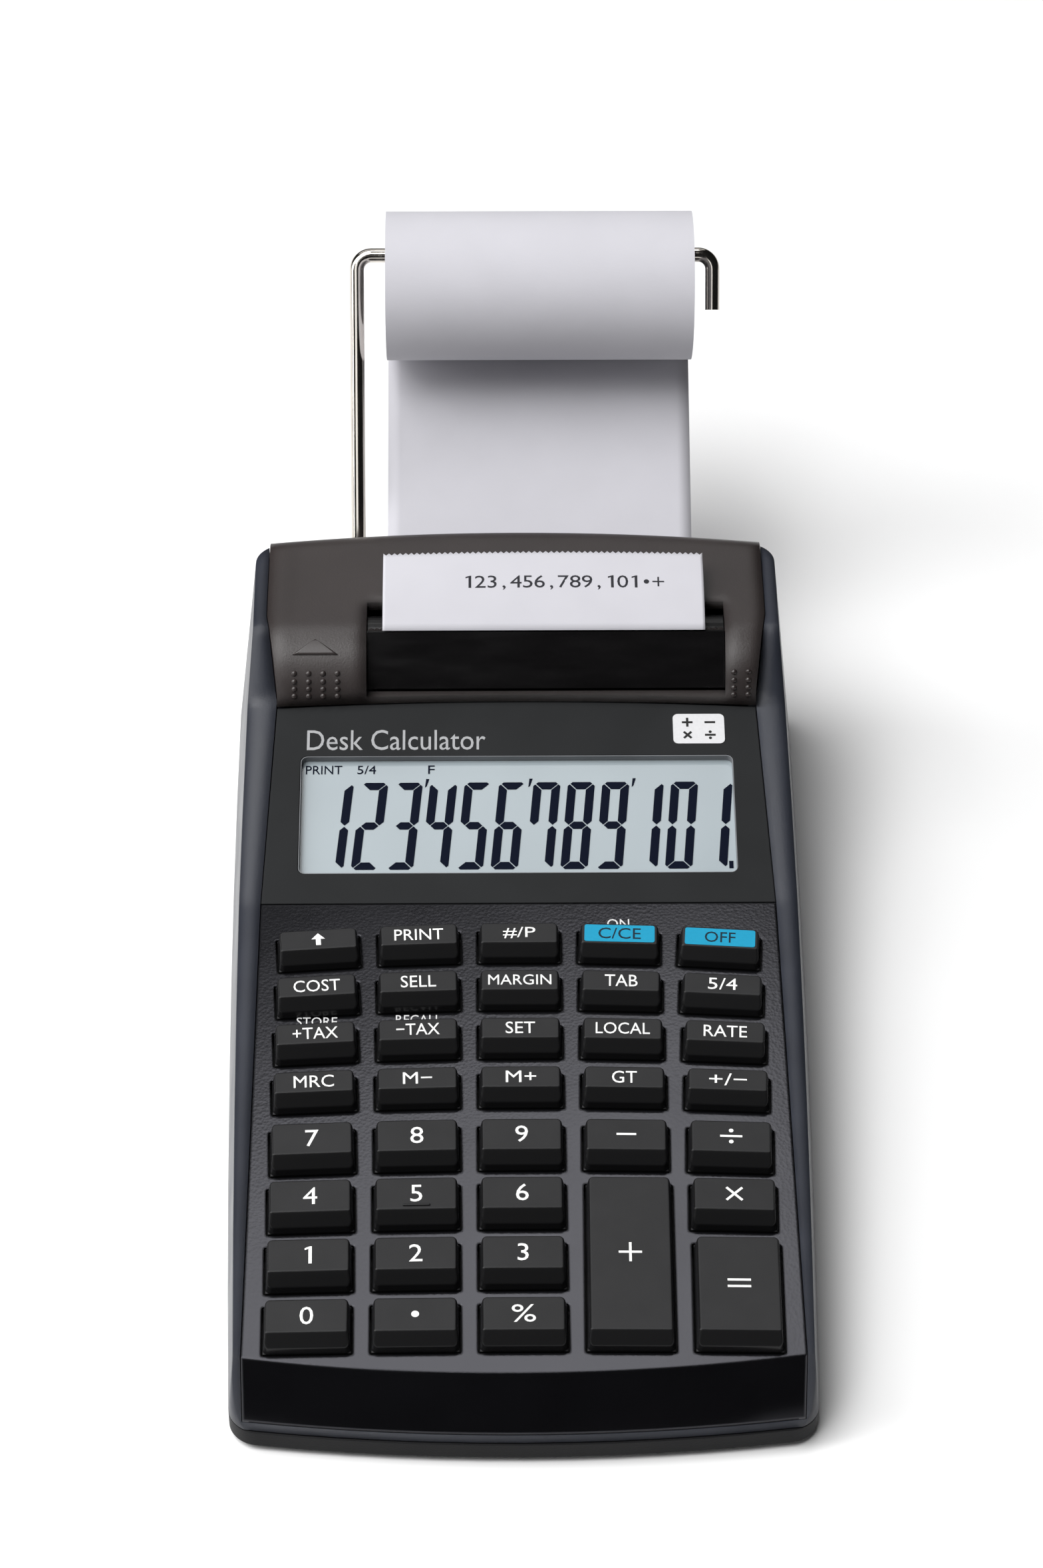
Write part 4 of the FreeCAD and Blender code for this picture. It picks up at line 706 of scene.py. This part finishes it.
class CALCULATOR_OT_display(bpy.types.Operator):
    """Light the display's segments and words"""
    bl_idname = "calculator.display"
    bl_label = "Display"

    def execute(self, context):
        look = context.scene.calculator_display
        coat("lcd_module", self.glass("liquid crystal glass", look.glass_colour))
        ink = printed("liquid crystal segments", look.ink_colour, 0.5, gloss=0.04)
        lift, last, low = -1.4, 37.05 * MM, 7.8
        outlines = []
        first = last - look.digit_pitch * (len(look.number) - 1)
        for place, digit in enumerate(look.number):
            edge = first + place * look.digit_pitch
            outlines += [self.leaned(o, look.lean, edge) for o in self.segments(digit, look)]
            if place in (2, 5, 8):
                tick = [(0.45, 8.0), (0.75, 8.3), (1.05, 9.8), (0.5, 9.8)]
                outlines.append(self.leaned([(x * MM, y * MM) for x, y in tick], look.lean, edge))
        outlines.append(bar(37.0 * MM, -8.25 * MM, 0.75 * MM, 1.5 * MM))
        middle = low + look.digit_height / MM / 2
        digits = placed(plates(outlines, PRINT_DEPTH), on_panel(0.0, middle, lift))
        words = []
        for word, across, width in (("PRINT", -34.0, 6.4), ("5/4", -26.5, 3.3), ("F", -15.1, 1.15)):
            mesh = lettering(word, width * MM, 1.75 * MM, PRINT_DEPTH)
            words.append(placed(mesh, on_panel(across, 28.6, lift)))
        piece("display_digits", joined([digits] + words), ink, "case")
        self.rim()
        return {"FINISHED"}

    def rim(self):
        """The moulded wall round the window, all of it a lighter grey: a painted highlight for where the wall
        faces the light.
        """
        middle, wide, deep, thick, rise = 18.35, 76.1 * MM, 24.4 * MM, 0.12 * MM, 1.34 * MM
        outer = rounded(0.0, 0.0, wide, deep, 1.2 * MM)
        inner = rounded(0.0, 0.0, wide - 2 * thick, deep - 2 * thick, 1.1 * MM)
        build = bmesh.new()
        loops = [[build.verts.new((x, y, z)) for x, y in ring]
                 for ring, z in ((outer, 0.0), (inner, 0.0), (inner, rise), (outer, rise))]
        for loop, after in zip(loops, loops[1:] + loops[:1]):
            wall(build, loop, after)
        mesh = finished(build, outward=True)
        # Painted highlight: the rim's lighter grey stands in for light on the window's recess wall.
        grey = moulded("matt ABS rim, painted highlight grey", linear("#77797c"), 0.6, 0.25, 0.01, edge=0.05)
        piece("window_rim", placed(mesh, on_panel(0.0, middle, -1.35)), grey, "case")

    def segments(self, digit, look):
        """A digit's lit bars with their mitres, upright: its right edge at x 0, its middle at y 0."""
        half, side, top = look.stroke / 2, look.digit_width / 2, look.digit_height / 2
        gap, chamfer = 0.13 * MM, look.stroke * 0.45
        inner = (side - look.stroke, top - look.stroke)
        outer = (side - chamfer / 2, top - chamfer / 2)
        upright = [(side, half + gap), (side, top - chamfer - gap), (outer[0], outer[1] - gap),
                   (inner[0], inner[1] - gap), (inner[0], half + gap), (side - half, gap)]
        level = [(inner[0] - gap, inner[1]), (outer[0] - gap, outer[1]), (side - chamfer - gap, top)]
        middle = [(inner[0] - gap, -half), (side - half - gap, 0.0), (inner[0] - gap, half)]

        def turned(outline, across, up):
            return [(x * across - side, y * up) for x, y in outline]

        def doubled(outline, up):
            return turned(outline, 1, up) + turned(reversed(outline), -1, up)

        shapes = [doubled(level, 1), turned(upright, -1, 1), turned(upright, 1, 1), doubled(middle, 1),
                  turned(upright, -1, -1), turned(upright, 1, -1), doubled(level, -1)]
        return [shape for shape, lit in zip(shapes, SEGMENTS[digit]) if lit == "1"]

    def leaned(self, outline, lean, shift):
        return [(x + y * math.tan(lean) + shift, y) for x, y in outline]

    def glass(self, name, base):
        """Twisted-nematic display: a grey-green polariser under flat glass, its tone varying a little in broad
        patches.
        """
        material, tree, shader, place = blank(name, IOR=1.52, Roughness=0.12, Specular_IOR_Level=0.35)
        cloud = spots(tree, place, 30.0).outputs["Fac"]
        tree.links.new(ramp(tree, cloud, shade(base, 0.94), shade(base, 1.04)), shader.inputs["Base Color"])
        return material


class CALCULATOR_OT_cover(bpy.types.Operator):
    """Finish the printer cover, with its grips and the tearing edge"""
    bl_idname = "calculator.cover"
    bl_label = "Printer cover"

    def execute(self, context):
        look = context.scene.calculator_case
        paper_look = context.scene.calculator_paper
        plastic = moulded("grained ABS cover, brown-black", look.cover_colour, 0.38, look.grain / MM, 0.03,
                          edge=4.0, gloss=0.5)
        coat("printer_cover", plastic)
        crisp = moulded("polished ABS grips, brown-black", look.cover_colour, 0.3, look.grain / MM, 0.01,
                        edge=0.1, gloss=0.5)
        coat("tear_bar", smoked("smoked polycarbonate", linear("#1b1a1b")))
        studs = studs_tree()
        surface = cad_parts["printer_cover"]
        for name, columns, middle in (("left", 4, -35.55), ("right", 2, 39.8)):
            dots = grown(studs, Surface=surface, Columns=columns, Rows=4, Column_Pitch=2.55 * MM,
                         Row_Pitch=1.15 * MM, Centre=(middle * MM, -20.0 * MM, 38.6 * MM),
                         Radius=0.55 * MM, Flatness=0.7, Material=crisp)
            piece("grip_" + name, dots, crisp, "cover")
        low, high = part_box("tear_bar")
        count = int((high[0] - low[0]) / paper_look.tooth_pitch)
        teeth = grown(teeth_tree(), Count=count, Pitch=paper_look.tooth_pitch, Height=0.55 * MM,
                      Thickness=0.4 * MM, Material=plastic)
        start = ((low[0] + high[0]) / 2 - (count - 1) / 2 * paper_look.tooth_pitch,
                 high[1] - 0.5 * MM, high[2] - 0.1 * MM)
        piece("tearing_teeth", placed(teeth, Matrix.Translation(start)), plastic, "cover")
        piece("grip_arrow", self.arrow(surface.data), crisp, "cover")
        self.mouth(moulded("polished black ABS", linear("#0a0a0b"), 0.3, 0.4, 0.01, gloss=0.3))
        return {"FINISHED"}

    def mouth(self, black):
        """A round-topped guide behind the tearing edge, which closes the view into the printer."""
        low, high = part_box("tear_bar")
        radius, steps, start, sunk = 3.0 * MM, 12, 149.9, 0.4 * MM
        middle = ((start + FRONT) * MM + radius, high[2] - radius - sunk)
        turns = [math.pi * i / steps for i in range(steps + 1)]
        arch = [(middle[0] + radius * math.cos(t), middle[1] + radius * math.sin(t)) for t in turns]
        arch += [(middle[0] - radius, middle[1] - radius), (middle[0] + radius, middle[1] - radius)]
        across = plates([arch], high[0] - low[0])
        # The outline lies in the plane across the machine, so its x becomes y and its y becomes z.
        turn = Matrix(((0.0, 0.0, 1.0, low[0]), (1.0, 0.0, 0.0, 0.0), (0.0, 1.0, 0.0, 0.0),
                       (0.0, 0.0, 0.0, 1.0)))
        piece("paper_guide", placed(across, turn), black, "cover")

    def arrow(self, surface):
        """A low wide triangle on the left grip, which follows the cover and points to the rear."""
        tree = BVHTree.FromPolygons([v.co for v in surface.vertices], [p.vertices for p in surface.polygons])
        middle, start, narrowing, above = -35.65 * MM, (145.4 + FRONT) * MM, 0.97, 0.2
        half, rise, height = 4.0 * MM, 2.4 * MM, 0.3 * MM

        def point(u, v):
            across = middle + (2 * u - 1) * half * (1 - narrowing * v)
            hit, normal = tree.ray_cast(Vector((across, start + rise * v, above)), Vector((0.0, 0.0, -1.0)))[:2]
            return hit + normal * height

        return sheet_mesh(16, 8, point, 0.5 * MM)


FIGURES = "123,456,789,101"


class CALCULATOR_OT_paper(bpy.types.Operator):
    """Make the tape, the roll and the paper between them"""
    bl_idname = "calculator.paper"
    bl_label = "Paper"

    def execute(self, context):
        look = context.scene.calculator_paper
        stock = paper("uncoated tape paper", look.paper_colour, 0.4)
        self.tape(look, stock)
        self.web(stock)
        self.roll(look, stock)
        return {"FINISHED"}

    def tape_point(self, across, along):
        """The tape's face: across in metres from its middle, along from the tearing edge, 0 to 1."""
        low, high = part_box("paper_tape")
        half = (high[0] - low[0]) / 2
        u = across / half
        start, run = (149.2, 44.9), (16.2, 4.9)
        arch = 0.9 * math.sin(math.pi * max(0.0, min(1.0, along)))
        droop = 0.5 * u * u * max(0.0, along)
        return Vector(((low[0] + high[0]) / 2 + across, (start[0] + run[0] * along + FRONT) * MM,
                       (start[1] + run[1] * along + arch - droop) * MM))

    def tape(self, look, stock):
        low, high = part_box("paper_tape")
        half = (high[0] - low[0]) / 2
        teeth = int(2 * half / look.tooth_pitch)
        columns = teeth * 2

        def point(u, v):
            place = self.tape_point((2 * u - 1) * half, v)
            if v == 1.0 and round(u * columns) % 2:
                place.y -= look.tooth_depth
            return place

        mesh = sheet_mesh(columns, 12, point, 0.1 * MM)
        piece("paper_tape_torn", mesh, stock, "cover", ("paper_tape",))
        self.print_line(look, half)

    def print_line(self, look, half):
        """One line of evenly spaced figures, laid onto the curled tape."""
        pitch, height, depth, widening = 2.12 * MM, 2.7 * MM, 0.02 * MM, 1.15
        low, high = self.figure_height()
        scale = height / (high - low)
        marks = []
        for place, letter in enumerate(FIGURES):
            mesh = glyphs(letter)
            left, right = span(mesh, 0)
            mesh.transform(Matrix.Translation(((place + 0.5) * pitch, 0.0, 0.0))
                           @ Matrix.Diagonal((scale * widening, scale, depth / 0.1, 1.0))
                           @ Matrix.Translation((-(left + right) / 2, -(low + high) / 2, 0.05)))
            marks.append(mesh)
        after = (len(FIGURES) + 0.5) * pitch
        plus = [(x + after + pitch, y) for x, y in cross(2.1 * MM, 0.3 * MM)]
        marks.append(plates([disc(after, 0.0, 0.48 * MM), plus], depth))
        mesh = joined(marks)
        start, line, tape_length, slope = 14.2 * MM - half, 0.565, 16.8 * MM, 0.3
        for vertex in mesh.vertices:
            x, y, z = vertex.co
            vertex.co = self.tape_point(start + x, line + y / tape_length) + Vector((0.0, -slope * z, z))
        piece("tape_print", mesh, printed("worn ribbon print", look.print_colour, 0.7), "cover")

    def figure_height(self):
        mesh = glyphs("0")
        low, high = span(mesh, 1)
        bpy.data.meshes.remove(mesh)
        return low, high

    def web(self, stock):
        """The paper from under the roll to the slot in the rear wall, slack in the middle."""
        low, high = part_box("paper_web")
        thick, slack = 0.12 * MM, 0.35 * MM

        def point(u, v):
            sag = slack * math.sin(math.pi * v) * (1 + 0.4 * math.cos(math.pi * (2 * u - 1)))
            return Vector((low[0] + (high[0] - low[0]) * u, low[1] + (high[1] - low[1]) * v,
                           low[2] + (high[2] - low[2]) * v - sag))

        mesh = sheet_mesh(24, 40, point, thick)
        strip = piece("paper_strip", mesh, stock, None, ("paper_web",))
        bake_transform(strip)

    def roll(self, look, stock):
        """The wound roll: its ends show the edges of the layers."""
        low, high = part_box("paper_roll")
        outer = (high[2] - low[2]) / 2
        inner = 7.3 * MM
        centre = (0.0, (low[1] + high[1]) / 2, (low[2] + high[2]) / 2)
        ridge = 0.12 * MM
        steps = look.windings * 2
        rise = [(ridge if i % 2 else 0.0, inner + (outer - inner) * i / steps) for i in range(steps + 1)]
        profile = [(high[0] - sunk, radius) for sunk, radius in rise]
        profile += [(low[0] + sunk, radius) for sunk, radius in reversed(rise)]
        mesh = lathe(profile, 128, centre)
        mesh.set_sharp_from_angle(angle=math.radians(40))
        piece("paper_roll_wound", mesh, stock, "roll", ("paper_roll",))


# Moulded, printed and felted fittings: colour, roughness, width and depth of the grain in millimetres, gloss.
FITTINGS = (
    ("rubber_feet", "moulded rubber", "#161616", 0.75, 0.4, 0.03, 0.2),
    ("key_mat", "silicone key mat", "#232326", 0.65, 0.5, 0.02, 0.25),
    ("main_board", "fibreglass board, green lacquer", "#0c3b1e", 0.3, 0.8, 0.02, 0.35),
    ("battery_cells", "printed cell jacket", "#2a2c30", 0.25, 0.6, 0.005, 0.35),
    ("feed_roller", "nitrile roller", "#1a1a1c", 0.7, 0.4, 0.03, 0.2),
    ("ink_roller", "inked felt", "#1b1028", 0.9, 0.5, 0.1, 0.1),
)


class CALCULATOR_OT_fittings(bpy.types.Operator):
    """Finish the wire holder, the printer and what is under the case"""
    bl_idname = "calculator.fittings"
    bl_label = "Fittings"

    def execute(self, context):
        coat("paper_holder", metal("bright nickel-plated wire", linear("#d8d2ca"), 0.14, 0.5))
        coat("case_screws", metal("zinc-plated steel", linear("#b8b8b4"), 0.32, 0.3))
        coat("battery_contacts", metal("nickel-plated spring steel", linear("#c6c4be"), 0.25, 0.3))
        black = moulded("black acetal", linear("#101012"), 0.45, 0.3, 0.02)
        for node in ("printer_frame", "print_drum", "adapter_socket"):
            coat(node, black)
        for node, name, code, roughness, grain, depth, gloss in FITTINGS:
            coat(node, moulded(name, linear(code), roughness, grain, depth, gloss=gloss))
        return {"FINISHED"}


class CALCULATOR_OT_stage(bpy.types.Operator):
    """Set up the floor, the lights and the camera"""
    bl_idname = "calculator.stage"
    bl_label = "Stage"

    def execute(self, context):
        look = context.scene.calculator_stage
        scene = context.scene
        scene.view_settings.view_transform = "Standard"
        self.floor(look)
        world = bpy.data.worlds.new("studio")
        world.use_nodes = True
        sky = world.node_tree.nodes["Background"].inputs
        sky["Color"].default_value = (1.0, 1.0, 1.0, 1.0)
        sky["Strength"].default_value = look.sky
        scene.world = world
        self.softbox("overhead", (-0.6, -0.3, 1.45), (0.0, 0.0, 0.0), (1.2, 1.0), 26.0)
        self.softbox("left", (-1.3, -0.1, 0.75), (0.0, 0.0, 0.03), (0.6, 1.2), 12.0)
        self.softbox("back", (-0.25, 0.41, 1.23), (-0.02, -0.08, 0.02), (1.0, 0.34), 3.8)
        self.softbox("rear", (-0.2, 1.15, 1.0), (0.0, 0.0, 0.02), (1.6, 0.5), 2.5)
        self.softbox("front", (-0.6, -1.3, 1.0), (0.0, 0.0, 0.02), (0.9, 0.6), 2.5)
        self.camera(look)
        return {"FINISHED"}

    def floor(self, look):
        bpy.ops.mesh.primitive_plane_add(size=6.0)
        floor = bpy.context.active_object
        floor.name = "floor"
        material, tree, shader, place = blank("matt paper roll backdrop", Roughness=0.9, Specular_IOR_Level=0.1)
        cloud = spots(tree, place, 60.0).outputs["Fac"]
        tint = ramp(tree, cloud, shade(look.floor_colour, 0.985), look.floor_colour)
        tree.links.new(tint, shader.inputs["Base Color"])
        floor.data.materials.append(material)

    def softbox(self, name, place, target, size, power):
        light = bpy.data.lights.new(name, "AREA")
        light.shape = "RECTANGLE"
        light.size, light.size_y = size
        light.energy = power
        lamp = put(name, light)
        lamp.location = place
        lamp.rotation_euler = (Vector(target) - Vector(place)).to_track_quat("-Z", "Y").to_euler()

    def camera(self, look):
        """The camera looks down over the front edge, a little turned and rolled."""
        place = (-0.00649, -0.5023, 0.4953)
        down, turn, roll = math.radians(42.504), math.radians(0.815), math.radians(0.326)
        ahead = Vector((math.sin(turn) * math.cos(down), math.cos(turn) * math.cos(down), -math.sin(down)))
        level = Vector((math.cos(turn), -math.sin(turn), 0.0))
        upright = level.cross(ahead)
        right = level * math.cos(roll) + upright * math.sin(roll)
        up = upright * math.cos(roll) - level * math.sin(roll)
        data = bpy.data.cameras.new("camera")
        data.lens = look.focal_length
        data.sensor_fit = "HORIZONTAL"
        data.sensor_width = 36.0
        data.clip_start = 0.01
        camera = put("camera", data)
        matrix = Matrix((right, up, -ahead)).transposed().to_4x4()
        matrix.translation = place
        camera.matrix_world = matrix
        bpy.context.scene.camera = camera


class CALCULATOR_PT_panel(bpy.types.Panel):
    """Shows the calculator's settings and the buttons that build its parts"""
    bl_idname = "CALCULATOR_PT_panel"
    bl_label = "Desk Printing Calculator"
    bl_space_type = "VIEW_3D"
    bl_region_type = "UI"
    bl_category = "Calculator"

    def draw(self, context):
        for attribute, operators in PANEL_ROWS:
            box = self.layout.box()
            look = getattr(context.scene, attribute)
            for name in look.__annotations__:
                box.prop(look, name)
            for operator in operators:
                box.operator(operator.bl_idname)


PANEL_ROWS = (
    ("calculator_stage", (CALCULATOR_OT_stage,)),
    ("calculator_case", (CALCULATOR_OT_case, CALCULATOR_OT_cover, CALCULATOR_OT_fittings)),
    ("calculator_keys", (CALCULATOR_OT_keys,)),
    ("calculator_display", (CALCULATOR_OT_display,)),
    ("calculator_paper", (CALCULATOR_OT_paper,)),
)
LOOKS = (("calculator_case", CaseLook), ("calculator_keys", KeyLook), ("calculator_display", DisplayLook),
         ("calculator_paper", PaperLook), ("calculator_stage", StageLook))
OPERATORS = (CALCULATOR_OT_stage, CALCULATOR_OT_case, CALCULATOR_OT_keys, CALCULATOR_OT_display,
             CALCULATOR_OT_cover, CALCULATOR_OT_paper, CALCULATOR_OT_fittings)


def register():
    for attribute, look in LOOKS:
        bpy.utils.register_class(look)
        setattr(bpy.types.Scene, attribute, PointerProperty(type=look))
    for operator in OPERATORS:
        bpy.utils.register_class(operator)
    bpy.utils.register_class(CALCULATOR_PT_panel)


def unregister():
    bpy.utils.unregister_class(CALCULATOR_PT_panel)
    for operator in reversed(OPERATORS):
        bpy.utils.unregister_class(operator)
    for attribute, look in reversed(LOOKS):
        delattr(bpy.types.Scene, attribute)
        bpy.utils.unregister_class(look)


def main():
    register()
    bpy.ops.calculator.stage()
    bpy.ops.calculator.case()
    bpy.ops.calculator.keys()
    bpy.ops.calculator.display()
    bpy.ops.calculator.cover()
    bpy.ops.calculator.paper()
    bpy.ops.calculator.fittings()


if __name__ == "__main__":
    main()
